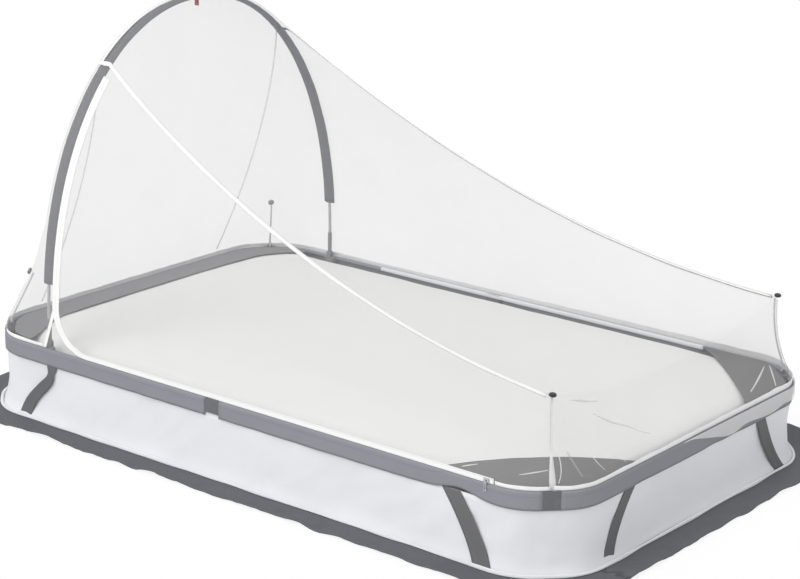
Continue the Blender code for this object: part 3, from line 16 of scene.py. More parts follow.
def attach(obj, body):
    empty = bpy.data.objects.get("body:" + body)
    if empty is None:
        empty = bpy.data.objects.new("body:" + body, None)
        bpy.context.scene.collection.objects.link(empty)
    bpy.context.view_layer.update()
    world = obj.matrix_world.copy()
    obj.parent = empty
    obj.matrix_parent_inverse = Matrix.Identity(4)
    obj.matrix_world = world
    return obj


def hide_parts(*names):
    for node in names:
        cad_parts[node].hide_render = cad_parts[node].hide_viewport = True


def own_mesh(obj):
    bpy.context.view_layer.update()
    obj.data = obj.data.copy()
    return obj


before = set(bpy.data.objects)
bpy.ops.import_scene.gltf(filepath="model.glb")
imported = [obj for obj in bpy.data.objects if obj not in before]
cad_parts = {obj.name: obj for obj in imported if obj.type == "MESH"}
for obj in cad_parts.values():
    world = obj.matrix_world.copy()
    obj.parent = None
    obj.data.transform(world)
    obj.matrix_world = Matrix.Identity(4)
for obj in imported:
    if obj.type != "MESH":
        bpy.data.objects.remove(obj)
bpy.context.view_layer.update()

print("pieces in the frame:", len(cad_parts))

# %% [markdown]
# The camera stands where the photograph was taken from. Its place, turn, tilt, roll and lens
# come from a fit of the rim's corners and the arch to where they are in the photograph, because
# a camera placed by eye shifts every edge a little.

# %% Camera
SENSOR = 36.0
FRAME_WIDTH = 800
CAMERA_PLACE = (3.6795, -4.6284, 2.1959)
CAMERA_AZIMUTH = 38.2186
CAMERA_PITCH = 16.9908
CAMERA_ROLL = 1.0848
FOCAL_PIXELS = 2255.15

view_data = bpy.data.cameras.new("view")
view_data.sensor_width = SENSOR
view_data.lens = FOCAL_PIXELS / FRAME_WIDTH * SENSOR
view = bpy.data.objects.new("view", view_data)
bpy.context.scene.collection.objects.link(view)
azimuth, pitch, roll = (math.radians(a) for a in (CAMERA_AZIMUTH, CAMERA_PITCH, CAMERA_ROLL))
back_off = Vector((math.sin(azimuth) * math.cos(pitch), -math.cos(azimuth) * math.cos(pitch),
                   math.sin(pitch)))
level = (-back_off).to_track_quat("-Z", "Y").to_matrix()
view.rotation_mode = "QUATERNION"
view.rotation_quaternion = (level @ Matrix.Rotation(roll, 3, "Z")).to_quaternion()
view.location = CAMERA_PLACE
bpy.context.scene.camera = view
print("lens", round(view_data.lens, 1), "mm")

# %% [markdown]
# Cloth looks flat when one colour fills it, so each finish here is a small tree of nodes. One
# class wraps a socket, so that shader maths reads as plain expressions, and one method adds
# every other node.


# %% Shader maths
class Wire:
    """A socket that Python's operators join to others through Math nodes."""

    def __init__(self, tree, socket):
        self.tree, self.socket = tree, socket

    def maths(self, operation, *others):
        return self.tree.node("ShaderNodeMath", {"operation": operation}, [self, *others])

    def __add__(self, other):
        return self.maths("ADD", other)

    __radd__ = __add__

    def __mul__(self, other):
        return self.maths("MULTIPLY", other)

    def __sub__(self, other):
        return self.maths("SUBTRACT", other)

    def __truediv__(self, other):
        return self.maths("DIVIDE", other)

    def __lt__(self, other):
        return self.maths("LESS_THAN", other)

    def __abs__(self):
        return self.maths("ABSOLUTE")


class Tree:
    """A node tree with one method that adds any node."""

    def __init__(self, tree):
        self.tree = tree

    def node(self, kind, settings=None, inputs=(), output=0):
        made = self.tree.nodes.new(kind)
        for key, value in (settings or {}).items():
            setattr(made, key, value)
        pairs = inputs.items() if isinstance(inputs, dict) else enumerate(inputs)
        for key, given in pairs:
            self.join(made.inputs[key], given)
        return Wire(self, made.outputs[output])

    def join(self, socket, given):
        if isinstance(given, Wire):
            self.tree.links.new(given.socket, socket)
        else:
            socket.default_value = given

    def mix_colour(self, share, first, second):
        return self.node("ShaderNodeMix", {"data_type": "RGBA"}, {0: share, 6: first, 7: second}, 2)

    def noise(self, where, scale, detail=2.0):
        return self.node("ShaderNodeTexNoise", None,
                         {"Vector": where, "Scale": scale, "Detail": detail})


class Finish(Tree):
    """A material whose Principled shader takes its sockets from expressions."""

    def __init__(self, name):
        self.material = bpy.data.materials.new(name)
        self.material.use_nodes = True
        super().__init__(self.material.node_tree)
        self.shader = self.tree.nodes["Principled BSDF"]

    def set(self, **sockets):
        for name, given in sockets.items():
            self.join(self.shader.inputs[name.replace("_", " ")], given)

    def bump(self, height, distance, strength=1.0):
        made = self.node("ShaderNodeBump", None,
                         {"Strength": strength, "Distance": distance, "Height": height})
        self.set(Normal=made)


def tint(colour, factor=1.0):
    return (*(min(1.0, c * factor) for c in colour), 1.0)


print("shader maths ready")

# %% [markdown]
# The stage is a plain white floor under a plain white sky, with one wide soft lamp from high in
# front. The sky is fully white only to the camera and in reflections, so the light on the tent
# stays plain, and the foot wall falls into the soft grey that it has in the photograph.

# %% Floor and light
FLOOR_HALF = 20.0
SKY_LEVEL = 0.74
LAMP_LEVEL = 1.50
LAMP_FROM = (-0.15, -0.75, 0.90)
LAMP_SPREAD = math.radians(50)
FLOOR_GLOW = 0.88
FLOOR_WHITE = (0.92, 0.92, 0.92)

world = bpy.data.worlds.new("studio")
world.use_nodes = True
sky = Tree(world.node_tree)
sky_ray = sky.node("ShaderNodeLightPath")
camera_ray, glossy_ray, through_ray = (
    Wire(sky, sky_ray.socket.node.outputs[name])
    for name in ("Is Camera Ray", "Is Glossy Ray", "Is Transmission Ray"))
seen = camera_ray.maths("MAXIMUM", glossy_ray).maths("MAXIMUM", through_ray)
background = world.node_tree.nodes["Background"]
background.inputs["Color"].default_value = (1, 1, 1, 1)
sky.join(background.inputs["Strength"], SKY_LEVEL + seen * (1 - SKY_LEVEL))
bpy.context.scene.world = world
bpy.context.scene.view_settings.view_transform = "Standard"

lamp_data = bpy.data.lights.new("soft lamp", "SUN")
lamp_data.energy = LAMP_LEVEL
lamp_data.angle = LAMP_SPREAD
lamp = bpy.data.objects.new("soft lamp", lamp_data)
lamp.rotation_mode = "QUATERNION"
lamp.rotation_quaternion = Vector(LAMP_FROM).to_track_quat("Z", "Y")
bpy.context.scene.collection.objects.link(lamp)

corners = [(-FLOOR_HALF, -FLOOR_HALF, 0), (FLOOR_HALF, -FLOOR_HALF, 0),
           (FLOOR_HALF, FLOOR_HALF, 0), (-FLOOR_HALF, FLOOR_HALF, 0)]
floor_mesh = bpy.data.meshes.new("floor")
floor_mesh.from_pydata(corners, [], [(0, 1, 2, 3)])
floor = bpy.data.objects.new("floor", floor_mesh)
bpy.context.scene.collection.objects.link(floor)
floor_finish = Finish("white floor")
floor_finish.set(Base_Color=tint(FLOOR_WHITE), Roughness=0.9, Specular_IOR_Level=0.1)
floor_ray = floor_finish.node("ShaderNodeLightPath")
glow = floor_finish.node("ShaderNodeEmission", None, {"Color": (1, 1, 1, 1), "Strength": 1.0})
shader_out = Wire(floor_finish, floor_finish.shader.outputs[0])
shown = floor_finish.node("ShaderNodeMixShader", None, [floor_ray * FLOOR_GLOW, shader_out, glow])
floor_end = floor_finish.tree.nodes["Material Output"].inputs["Surface"]
floor_finish.join(floor_end, shown)
floor_mesh.materials.append(floor_finish.material)
print("floor and lamp ready")

# %% [markdown]
# Each cloth keeps, point by point, where it lay when it was flat, in metres. Weave, ribs and
# stitches are drawn on that flat cloth, so they run with the threads however the cloth hangs.

# %% Cloth finishes
FLAT = "flat"
STITCH_STEP = 0.0042
STITCH_SHARE = 0.68
STITCH_HALF = 0.0005
WEAVE_DEPTH, WEAVE_SHARE = 0.0003, 0.35
STRAND_POWER = 6.0


def flat_place(finish):
    """The cloth's own two directions in metres, as two values, and both as a vector."""
    place = finish.node("ShaderNodeAttribute", {"attribute_name": FLAT}, output=1)
    parts = finish.node("ShaderNodeSeparateXYZ", None, [place])
    return parts, Wire(finish, parts.socket.node.outputs[1]), place


def stitches(finish, along, across, rows):
    """A mask of thread dashes on lines at these distances from the cloth's edge."""
    dashes = (along / STITCH_STEP).maths("FRACT") < STITCH_SHARE
    mask = None
    for row in rows:
        line = dashes * (abs(across - row) < STITCH_HALF)
        mask = line if mask is None else mask.maths("MAXIMUM", line)
    return mask


def woven(name, colour, pitch, roughness=0.9, uneven=0.05, crumple=0.0008, rows=(), thread=None,
          ribs=False, sheen=0.0, through=0.0):
    """Plain or ribbed cloth: threads, soft uneven dye, small creases and rows of stitches."""
    finish = Finish(name)
    along, across, place = flat_place(finish)
    turn = 2 * math.pi / pitch
    if ribs:
        weave = (along * turn + abs(across) * turn).maths("SINE")
    else:
        weave = (along * turn).maths("SINE") * (across * turn).maths("SINE")
    dye = finish.noise(place, 9.0, 3.0)
    fine = finish.noise(place, 160.0, 2.0)
    shade = (dye - 0.5) * 2 * uneven + (fine - 0.5) * uneven + weave * uneven * WEAVE_SHARE
    dark, light = tint(colour, 1 - 2 * uneven), tint(colour, 1 + 2 * uneven)
    dyed = finish.mix_colour(0.5 + shade * (0.5 / (2 * uneven)), dark, light)
    creases = (finish.noise(place, 26.0, 4.0) - 0.5) * (crumple / WEAVE_DEPTH)
    height = weave * WEAVE_SHARE + creases
    if rows:
        mask = stitches(finish, along, across, rows)
        dyed = finish.mix_colour(mask, dyed, tint(thread or colour, 1.0 if thread else 1.35))
        height = height + mask
    finish.set(Base_Color=dyed, Roughness=roughness, Specular_IOR_Level=0.2,
               Sheen_Weight=sheen, Sheen_Roughness=0.5)
    finish.bump(height, WEAVE_DEPTH)
    if through:
        finish.set(Subsurface_Weight=through, Subsurface_Radius=(0.004, 0.004, 0.004))
    return finish.material


def netting(name, colour, pitch, thread, haze):
    """See-through mesh: soft crossing threads in the alpha, with a little haze between them."""
    finish = Finish(name)
    along, across, place = flat_place(finish)
    turn = math.pi / pitch
    strands = [abs((way * turn).maths("COSINE")).maths("POWER", STRAND_POWER)
               for way in (along, across)]
    mesh = strands[0].maths("MAXIMUM", strands[1])
    cloud = (finish.noise(place, 5.0, 2.0) - 0.5) * 0.06
    finish.set(Base_Color=tint(colour), Roughness=0.9, Specular_IOR_Level=0.1,
               Alpha=haze + mesh * thread + cloud)
    finish.bump(mesh, 0.0002, 0.5)
    return finish.material


RIM_GREY = (0.262, 0.270, 0.298)
ARCH_GREY = (0.165, 0.168, 0.185)
PANEL_GREY = (0.225, 0.226, 0.232)
POCKET_GREY = (0.180, 0.180, 0.183)
STRAP_GREY = (0.150, 0.150, 0.155)
SKIRT_GREY = (0.118, 0.125, 0.137)
WALL_WHITE = (0.82, 0.83, 0.86)
PAD_WHITE = (0.88, 0.88, 0.87)
TAPE_WHITE = (0.90, 0.90, 0.89)
NET_WHITE = (0.61, 0.61, 0.615)

rim_cloth = woven("rim sleeve cloth", RIM_GREY, 0.0011, rows=(0.004, 0.034),
                  thread=(0.20, 0.20, 0.22))
arch_cloth = woven("arch sleeve cloth", ARCH_GREY, 0.0011, rows=(0.004, 0.036),
                   thread=(0.22, 0.22, 0.24))
panel_cloth = woven("panel cloth", PANEL_GREY, 0.0011, crumple=0.0012, rows=(0.005,))
pocket_cloth = woven("pocket cloth", POCKET_GREY, 0.0011, crumple=0.0012, rows=(0.005,))
strap_webbing = woven("strap webbing", STRAP_GREY, 0.0026, roughness=0.75, uneven=0.07,
                      crumple=0.0003, ribs=True, rows=(0.003, 0.042), thread=(0.20, 0.20, 0.205))
skirt_cloth = woven("skirt cloth", SKIRT_GREY, 0.0009, roughness=0.65, uneven=0.08,
                    crumple=0.0022)
wall_cloth = woven("wall cloth", WALL_WHITE, 0.0008, uneven=0.02, crumple=0.0014, rows=(0.006,),
                   thread=(0.75, 0.75, 0.76), through=0.2)
pad_cloth = woven("mattress cover", PAD_WHITE, 0.0012, uneven=0.012, crumple=0.0010, sheen=0.1)
tape_cloth = woven("white tape", TAPE_WHITE, 0.0010, uneven=0.02, crumple=0.0004, rows=(0.002,),
                   thread=(0.80, 0.80, 0.80))
tab_ribbon = woven("red ribbon", (0.50, 0.025, 0.035), 0.0012, crumple=0.0003, ribs=True)
zip_cloth = woven("zip tape", TAPE_WHITE, 0.0010, uneven=0.02, crumple=0.0002,
                  rows=(0.0105, 0.0115, 0.0125), thread=(0.84, 0.84, 0.85))
net_mesh = netting("net", NET_WHITE, 0.0020, 0.16, 0.10)
net_doubled = netting("doubled net", (0.86, 0.86, 0.865), 0.0020, 0.20, 0.52)
# Darker grey net, painted shade: the front head seam and the faint pleats wear it.
net_shaded = netting("net seam in shade", (0.50, 0.50, 0.505), 0.0020, 0.20, 0.30)
print("cloth finishes:", len(bpy.data.materials))

# %% [markdown]
# Hard parts are moulded plastic with a fine grain, glass fibre rods with a finer one, and a
# plated slider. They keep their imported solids, because a rigid solid that is already right only
# needs its finish.


# %% Hard finishes
def grained(name, colour, roughness, metallic=0.0, grain=900.0, depth=0.00008):
    """Moulded, drawn or plated surface: grain, faint marks and a worn, slightly lighter bloom."""
    finish = Finish(name)
    place = finish.node("ShaderNodeTexCoord", output=3)
    fine = finish.noise(place, grain, 2.0)
    bloom = finish.noise(place, 40.0, 3.0)
    worn = (bloom - 0.45).maths("MAXIMUM", 0.0)
    finish.set(Base_Color=finish.mix_colour(worn * 0.8, tint(colour), tint(colour, 1.6)),
               Roughness=roughness + (bloom - 0.5) * 0.2, Metallic=metallic)
    finish.bump(fine, depth)
    return finish.material


BLOCK_GREY = (0.115, 0.118, 0.128)
ROD_GREY, PALE_ROD_GREY = (0.42, 0.43, 0.45), (0.55, 0.555, 0.565)
CAP_BLACK, CAP_GREY = (0.018, 0.018, 0.020), (0.22, 0.22, 0.225)
ROD_GRAIN = {"grain": 300.0, "depth": 0.00003}
moulded = grained("moulded grey", BLOCK_GREY, 0.5)
black_cap = grained("moulded black", CAP_BLACK, 0.38)
grey_cap = grained("moulded light grey", CAP_GREY, 0.45)
rod_fibre = grained("glass fibre", ROD_GREY, 0.35, **ROD_GRAIN)
pale_fibre = grained("pale glass fibre", PALE_ROD_GREY, 0.35, **ROD_GRAIN)
plated = grained("plated metal", (0.55, 0.56, 0.58), 0.28, metallic=1.0, grain=500.0)

hard_finishes = {"pole_coupler": moulded, "corner_connector": moulded, "arch_foot": grey_cap,
                 "arch_bracket": grey_cap, "stay_cap_head": grey_cap, "stay_cap": black_cap,
                 "rim_pole": rod_fibre, "stay_": pale_fibre, "arch_pole": rod_fibre, "zip_": plated}
for name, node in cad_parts.items():
    for start, material in hard_finishes.items():
        if name.startswith(start):
            node.data.materials.clear()
            node.data.materials.append(material)
            break
print("hard finishes:", len(hard_finishes))

# %% [markdown]
# The rim is a rounded rectangle whose corners are two bends with a short straight between
# them, where the corner block sits. One function gives a place on it and the direction that
# faces out there, and every piece that follows the rim asks it.

# %% Plan of the rim
RIM_LENGTH, RIM_WIDTH, RIM_TOP = 2.00, 1.24, 0.215
RIM_BEND_RADIUS = 0.150
HALF_LENGTH, HALF_WIDTH = RIM_LENGTH / 2, RIM_WIDTH / 2
CONNECTOR_LEG = 0.021
CORNER_STRAIGHT = CONNECTOR_LEG + 0.002
CORNER_REACH = RIM_BEND_RADIUS + math.sqrt(2) * CORNER_STRAIGHT
CORNER_DEPTH = CORNER_STRAIGHT + RIM_BEND_RADIUS * math.tan(math.pi / 8)
CORNER_X = HALF_LENGTH - CORNER_DEPTH / math.sqrt(2)
CORNER_Y = HALF_WIDTH - CORNER_DEPTH / math.sqrt(2)
HEAD, FOOT, FRONT, BACK = -1, 1, -1, 1
END_NAME, SIDE_NAME = {HEAD: "head", FOOT: "foot"}, {FRONT: "front", BACK: "back"}
EDGES = {"front": ((HEAD, FRONT), (FOOT, FRONT), "long"),
         "foot": ((FOOT, FRONT), (FOOT, BACK), "short"),
         "back": ((HEAD, BACK), (FOOT, BACK), "long"),
         "head": ((HEAD, FRONT), (HEAD, BACK), "short")}
UP = np.array([0.0, 0.0, 1.0])


def plan_point(way, inset, end, side, run):
    """Place and outward direction at a distance from a corner's middle along one of its runs."""
    reach, span = (HALF_LENGTH, HALF_WIDTH) if run == "long" else (HALF_WIDTH, HALF_LENGTH)
    radius = RIM_BEND_RADIUS - inset
    bend = radius * math.pi / 4
    if way <= CORNER_STRAIGHT:
        depth, turn = CORNER_DEPTH + inset, math.pi / 4
        along, out = reach - (depth + way) / math.sqrt(2), span - (depth - way) / math.sqrt(2)
    elif way <= CORNER_STRAIGHT + bend:
        turn = math.pi / 4 + (way - CORNER_STRAIGHT) / radius
        along = reach - CORNER_REACH + radius * math.cos(turn)
        out = span - RIM_BEND_RADIUS + radius * math.sin(turn)
    else:
        turn = math.pi / 2
        along, out = reach - CORNER_REACH - (way - CORNER_STRAIGHT - bend), span - inset
    facing = (math.cos(turn), math.sin(turn))
    if run == "short":
        along, out, facing = out, along, facing[::-1]
    return (np.array([end * along, side * out, 0.0]),
            np.array([end * facing[0], side * facing[1], 0.0]))


def straight_way(distance, inset):
    """Distance from a corner's middle of the point this far from the sides' crossing."""
    return CORNER_STRAIGHT + (RIM_BEND_RADIUS - inset) * math.pi / 4 + distance - CORNER_REACH


def edge_place(edge, way, inset):
    """Place and outward direction on one side of the rim, from its first corner's middle."""
    first, last, run = EDGES[edge]
    half = straight_way(HALF_LENGTH if run == "long" else HALF_WIDTH, inset)
    end, side = first if way <= half else last
    return plan_point(way if way <= half else 2 * half - way, inset, end, side, run)


def edge_length(edge, inset=0.0):
    return 2 * straight_way(HALF_LENGTH if EDGES[edge][2] == "long" else HALF_WIDTH, inset)


def shares(count):
    return [k / count for k in range(count + 1)]


def mix(a, b, share):
    return a + (b - a) * share


def smooth(share):
    share = min(1.0, max(0.0, share))
    return share * share * (3 - 2 * share)


def along_edge(edge, start, stop, count, inset):
    """Places and outward directions evenly spaced between two distances along one side."""
    stations = [edge_place(edge, mix(start, stop, share), inset) for share in shares(count)]
    return tuple(np.array(column) for column in zip(*stations))


def round_rim(inset, step):
    """Places, outward directions and distances to the next corner, all the way round."""
    stations = []
    for edge in ("front", "foot", "back", "head"):
        length = edge_length(edge, inset)
        ways = [length * share for share in shares(round(length / step))][:-1]
        ways = ways if edge in ("front", "foot") else [length - way for way in ways]
        stations += [(*edge_place(edge, way, inset), min(way, length - way)) for way in ways]
    stations.append(stations[0])
    return tuple(np.array(column) for column in zip(*stations))


print("rim from corner to corner:", round(edge_length("front"), 3), "and",
      round(edge_length("head"), 3), "m")

# %% [markdown]
# Every cloth starts as a grid of places with rows and columns. The helpers measure it, push it
# out along its own normals for folds and creases, and turn it into a mesh that remembers the
# flat cloth. The unevenness is a few crossing waves whose directions come from a fixed seed.


# %% Cloth helpers
WAVES = 7
WELD = 0.00005
INSIDE_Z = 0.3
made = {}


def ripple(x, y, size, seed):
    """Soft unevenness between about -1 and 1 over flat places x, y, with folds about this size."""
    draws = np.random.default_rng(seed)
    total = 0.0
    for _ in range(WAVES):
        turn, start = draws.uniform(0, 2 * math.pi), draws.uniform(0, 2 * math.pi)
        scale = draws.uniform(0.6, 1.7)
        way = x * math.cos(turn) + y * math.sin(turn)
        total = total + np.sin(way * 2 * math.pi / (size * scale) + start)
    return total / (WAVES / 2)


def flat_grid(places):
    """Where each point of a grid lay on the flat cloth: along its rows, and up its columns."""
    steps = np.linalg.norm(np.diff(places, axis=1), axis=2).mean(axis=0)
    along = np.concatenate([[0.0], np.cumsum(steps)])
    rises = np.linalg.norm(np.diff(places, axis=0), axis=2)
    up = np.concatenate([np.zeros((1, places.shape[1])), np.cumsum(rises, axis=0)])
    return np.broadcast_to(along, up.shape), up


def grid_normals(places, outward):
    """Unit normals of a grid, all turned to the side that outward(place) points to."""
    across = np.gradient(places, axis=1)
    up = np.gradient(places, axis=0)
    normal = np.cross(across, up)
    normal /= np.maximum(np.linalg.norm(normal, axis=2, keepdims=True), 1e-9)
    facing = np.sum(normal * outward(places), axis=2, keepdims=True)
    return normal * np.where(facing.sum() < 0, -1.0, 1.0)


def from_middle(places):
    return places - UP * INSIDE_Z


def grid_area(places):
    a, b, c, d = places[:-1, :-1], places[:-1, 1:], places[1:, 1:], places[1:, :-1]
    return float((np.linalg.norm(np.cross(b - a, c - a), axis=2)
                  + np.linalg.norm(np.cross(c - a, d - a), axis=2)).sum() / 2)


def grid_mesh(name, panels):
    """One mesh from grids of places, each with its flat place; touching edges are welded."""
    places, flats, faces, first = [], [], [], 0
    for grid, along, up in panels:
        rows, columns = grid.shape[:2]
        places.append(grid.reshape(-1, 3))
        flats.append(np.stack([along, up, np.zeros_like(up)], axis=2).reshape(-1, 3))
        index = np.arange(first, first + rows * columns).reshape(rows, columns)
        quads = np.stack([index[:-1, :-1], index[:-1, 1:], index[1:, 1:], index[1:, :-1]], axis=2)
        faces.append(quads.reshape(-1, 4))
        first += rows * columns
    mesh = bpy.data.meshes.new(name)
    mesh.from_pydata(np.concatenate(places).tolist(), [], np.concatenate(faces).tolist())
    kept = mesh.attributes.new(FLAT, "FLOAT_VECTOR", "POINT")
    kept.data.foreach_set("vector", np.concatenate(flats).astype(np.float32).ravel())
    shape = bmesh.new()
    shape.from_mesh(mesh)
    bmesh.ops.remove_doubles(shape, verts=shape.verts, dist=WELD)
    bmesh.ops.dissolve_degenerate(shape, edges=shape.edges, dist=WELD)
    bmesh.ops.recalc_face_normals(shape, faces=shape.faces)
    shape.to_mesh(mesh)
    shape.free()
    mesh.shade_smooth()
    return mesh


def add_piece(name, mesh, material, body="base", nodes=()):
    """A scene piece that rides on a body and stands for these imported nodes."""
    piece = bpy.data.objects.new(name, mesh)
    bpy.context.scene.collection.objects.link(piece)
    mesh.materials.append(material)
    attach(piece, body)
    if nodes:
        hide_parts(*nodes)
    made[name] = piece
    return piece


def baked(piece):
    """Replaces a piece's mesh by what its modifiers make of it, so later steps see a plain one."""
    bpy.context.view_layer.update()
    seen_piece = piece.evaluated_get(bpy.context.evaluated_depsgraph_get())
    old, piece.data = piece.data, bpy.data.meshes.new_from_object(seen_piece)
    piece.modifiers.clear()
    bpy.data.meshes.remove(old)


def thicken(piece, thickness, offset=0.0):
    """Gives a cloth its thickness."""
    solid = piece.modifiers.new("thickness", "SOLIDIFY")
    solid.thickness, solid.offset, solid.use_even_offset = thickness, offset, True
    baked(piece)
    piece.data.shade_smooth()


def cloth(name, grid, material, thickness, nodes=(), body="base",
          flat=None):
    """A sheet from one grid of places."""
    along, up = flat_grid(grid)
    piece = add_piece(name, grid_mesh(name, [(grid, along, up)]), material, body, nodes)
    if thickness:
        thicken(piece, thickness)
    width, length = flat or (float(up[-1].max()), float(along[0, -1]))
    area = min(grid_area(grid), 0.999 * width * length)
    return piece


def folds_with_arch(piece):
    """Gives the piece a mesh of its own."""
    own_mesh(piece)


print("cloth helpers ready")

# %% [markdown]
# The grey rim sleeves are flat bands with a channel along their top edge that holds the pole.
# Each is swept along the rim from one section, as a seamstress would fold it, so it stays one
# strip of cloth. The tail is drawn up where the foot straps pull on it, and it is never quite
# flat.

# %% Rim sleeves
ROD_RADIUS, GAP, BAND_CLOTH = 0.0045, 0.0003, 0.0016
BAND_HEIGHT = 0.048
CHANNEL_RADIUS = ROD_RADIUS + GAP + BAND_CLOTH
SLEEVE_STOP = CONNECTOR_LEG + GAP
COUPLER_HALF = 0.024 + GAP
WINDOW_X = 0.91 - HALF_LENGTH
STRAP_TOP, STRAP_FOOT, STRAP_WIDTH = 0.312, 0.208, 0.045
BAND_STEP = 0.012
PINCH, PINCH_REACH, PINCH_BESIDE_STRAP = 0.36, 0.060, 0.02
BAND_WAVE, BAND_RUCK, BAND_END = 0.0016, 0.0006, 0.03


def band_section():
    """Outward and upward places of the band's cloth, from the tail's edge up round the channel."""
    slit = math.acos((CHANNEL_RADIUS - BAND_CLOTH - GAP) / CHANNEL_RADIUS)
    turns = [(2 * math.pi - slit) * share for share in shares(20)]
    tail = [(-BAND_CLOTH / 2, mix(-BAND_HEIGHT, -CHANNEL_RADIUS - 0.004, share))
            for share in shares(7)]
    radius = CHANNEL_RADIUS - BAND_CLOTH / 2
    return tail + [(radius * math.cos(turn) - CHANNEL_RADIUS,
                    radius * math.sin(turn) - CHANNEL_RADIUS) for turn in turns]


def band_grid(edge, start, stop, seed):
    """Grid of a band between two distances along one side, with its pinches and waves."""
    count = max(4, round((stop - start) / BAND_STEP))
    places, outward = along_edge(edge, start, stop, count, 0.0)
    pinch = np.zeros(len(places))
    if EDGES[edge][2] == "long":
        from_strap = HALF_LENGTH - places[:, 0] - STRAP_TOP + PINCH_BESIDE_STRAP
        pinch = PINCH * np.exp(-(from_strap / PINCH_REACH) ** 2)
    rows = []
    for out, up in band_section():
        tail = (-up - 2 * CHANNEL_RADIUS) / (BAND_HEIGHT - 2 * CHANNEL_RADIUS)
        height = up * (1 - pinch * min(1.0, max(0.0, tail)))
        rows.append(places + outward * out + UP * (RIM_TOP + height)[:, None])
    grid = np.array(rows)
    along, up = flat_grid(grid)
    tail = np.clip(1 - up / (BAND_HEIGHT - CHANNEL_RADIUS), 0, 1)
    ends = np.clip(np.minimum(along, along[0, -1] - along) / BAND_END, 0, 1)
    wave = ripple(along, up * 0.5, 0.16, seed) * BAND_WAVE
    wave = wave + ripple(along, up, 0.05, seed + 1) * BAND_RUCK
    return grid + outward[None] * (wave * tail * ends)[..., None]


def make_rim_sleeves():
    half, runs = straight_way(HALF_LENGTH, 0.0), []
    for side in (FRONT, BACK):
        edge, seed, window = SIDE_NAME[side], 100 + 11 * side, half + WINDOW_X
        runs += [(edge, f"{edge}_head", SLEEVE_STOP, window - COUPLER_HALF, seed + HEAD),
                 (edge, f"{edge}_foot", window + COUPLER_HALF, 2 * half - SLEEVE_STOP, seed + FOOT)]
    for end in (HEAD, FOOT):
        edge = END_NAME[end]
        runs.append((edge, edge, SLEEVE_STOP, edge_length(edge) - SLEEVE_STOP, 40 + end))
    for edge, name, start, stop, seed in runs:
        cloth(f"rim_sleeve_{name}_cloth", band_grid(edge, start, stop, seed), rim_cloth,
              BAND_CLOTH, [f"rim_sleeve_{name}"])


make_rim_sleeves()
print("rim sleeves:", sum("rim_sleeve" in name for name in made))

# %% [markdown]
# The walls are one thin white cloth that goes round the bed. It is drawn in midway by the
# mattress, creased where the corners pull on it, and rolled outward at its foot, where the
# skirt begins.

# %% Walls
WEBBING, WALL_CLOTH = 0.0015, 0.0015
GROUND_TOP = 0.003
WALL_INSET = BAND_CLOTH + GAP + WEBBING + GAP + WALL_CLOTH / 2
WALL_LOW = GROUND_TOP + GAP + 0.0011
WALL_HIGH = RIM_TOP - 0.0405
WALL_SAG, WALL_FOOT_ROLL, WALL_DRAWN_IN, WALL_FOOT_LIFT = 0.006, 0.011, 0.0016, 0.004
WALL_STEP = 0.016
WALL_THIN = 0.0009
WALL_HANG, WALL_CREASE = 0.0035, 0.0013
CORNER_CREASE, CORNER_CREASE_HALF = 0.0040, 0.012


def wall_offset(share):
    return -WALL_SAG * math.sin(math.pi * share) + WALL_FOOT_ROLL * (1 - share) ** 6


def wall_grid():
    places, outward, to_corner = round_rim(WALL_INSET, WALL_STEP)
    grid = np.array([places + outward * wall_offset(up) + UP * mix(WALL_LOW, WALL_HIGH, up)
                     for up in [share ** 1.5 for share in shares(16)]])
    along, up = flat_grid(grid)
    share = up / up.max()
    middle = np.sin(np.pi * np.clip(share, 0, 1)) ** 0.7
    turn, ring = 2 * np.pi * along / along[0, -1], along[0, -1] / 6.3
    x, y = np.cos(turn) * ring, np.sin(turn) * ring
    hang = ripple(x, y, 0.22, 5) * WALL_HANG
    crease = ripple(x + up * 0.7, y - up * 0.7, 0.07, 6) * WALL_CREASE
    foot = np.exp(-(share / 0.12) ** 2) * (0.5 + 0.5 * ripple(np.cos(turn), np.sin(turn), 0.35, 8))
    corner = np.exp(-(to_corner / CORNER_CREASE_HALF) ** 2) * CORNER_CREASE
    push = (hang + crease + corner - WALL_DRAWN_IN) * middle + foot * WALL_FOOT_LIFT
    return grid + outward[None] * push[..., None]


wall = cloth("wall_cloth", wall_grid(), wall_cloth, WALL_THIN,
             ["wall_front", "wall_back", "wall_head", "wall_foot"])
print("wall cloth:", len(wall.data.polygons), "faces")

# %% [markdown]
# Where the wall meets the skirt, its hem is turned under and sewn into a soft white roll. It
# lies on the skirt just outside the wall and swells and thins as it goes round. Half a tube is
# enough, because its underside is never seen.

# %% Roll at the foot of the walls
ROLL_RADIUS, ROLL_UNEVEN, ROLL_CLOTH = 0.0046, 0.0014, 0.0007
ROLL_TALL, ROLL_REST = 1.25, 0.0004


def roll_grid():
    places, outward, _ = round_rim(WALL_INSET, WALL_STEP)
    radius = ROLL_RADIUS + ROLL_UNEVEN * ripple(places[:, 0], places[:, 1], 0.20, 9)
    middle = WALL_FOOT_ROLL + WALL_CLOTH + WEBBING + GAP + radius
    foot = GROUND_TOP + GAP + ROLL_REST
    return np.array([places + outward * (middle + radius * math.cos(turn))[:, None]
                     + UP * (foot + radius * ROLL_TALL * math.sin(turn))[:, None]
                     for turn in [math.pi * share for share in shares(10)]])


cloth("wall_roll", roll_grid(), wall_cloth, ROLL_CLOTH)
print("roll round the walls")

# %% [markdown]
# The ground sheet lies flat under the bed, and its free edge stands out round the walls as a
# skirt. Coated cloth keeps the waves it was folded with, so the skirt lifts and wanders a few
# millimetres, more along its edge than at the wall.

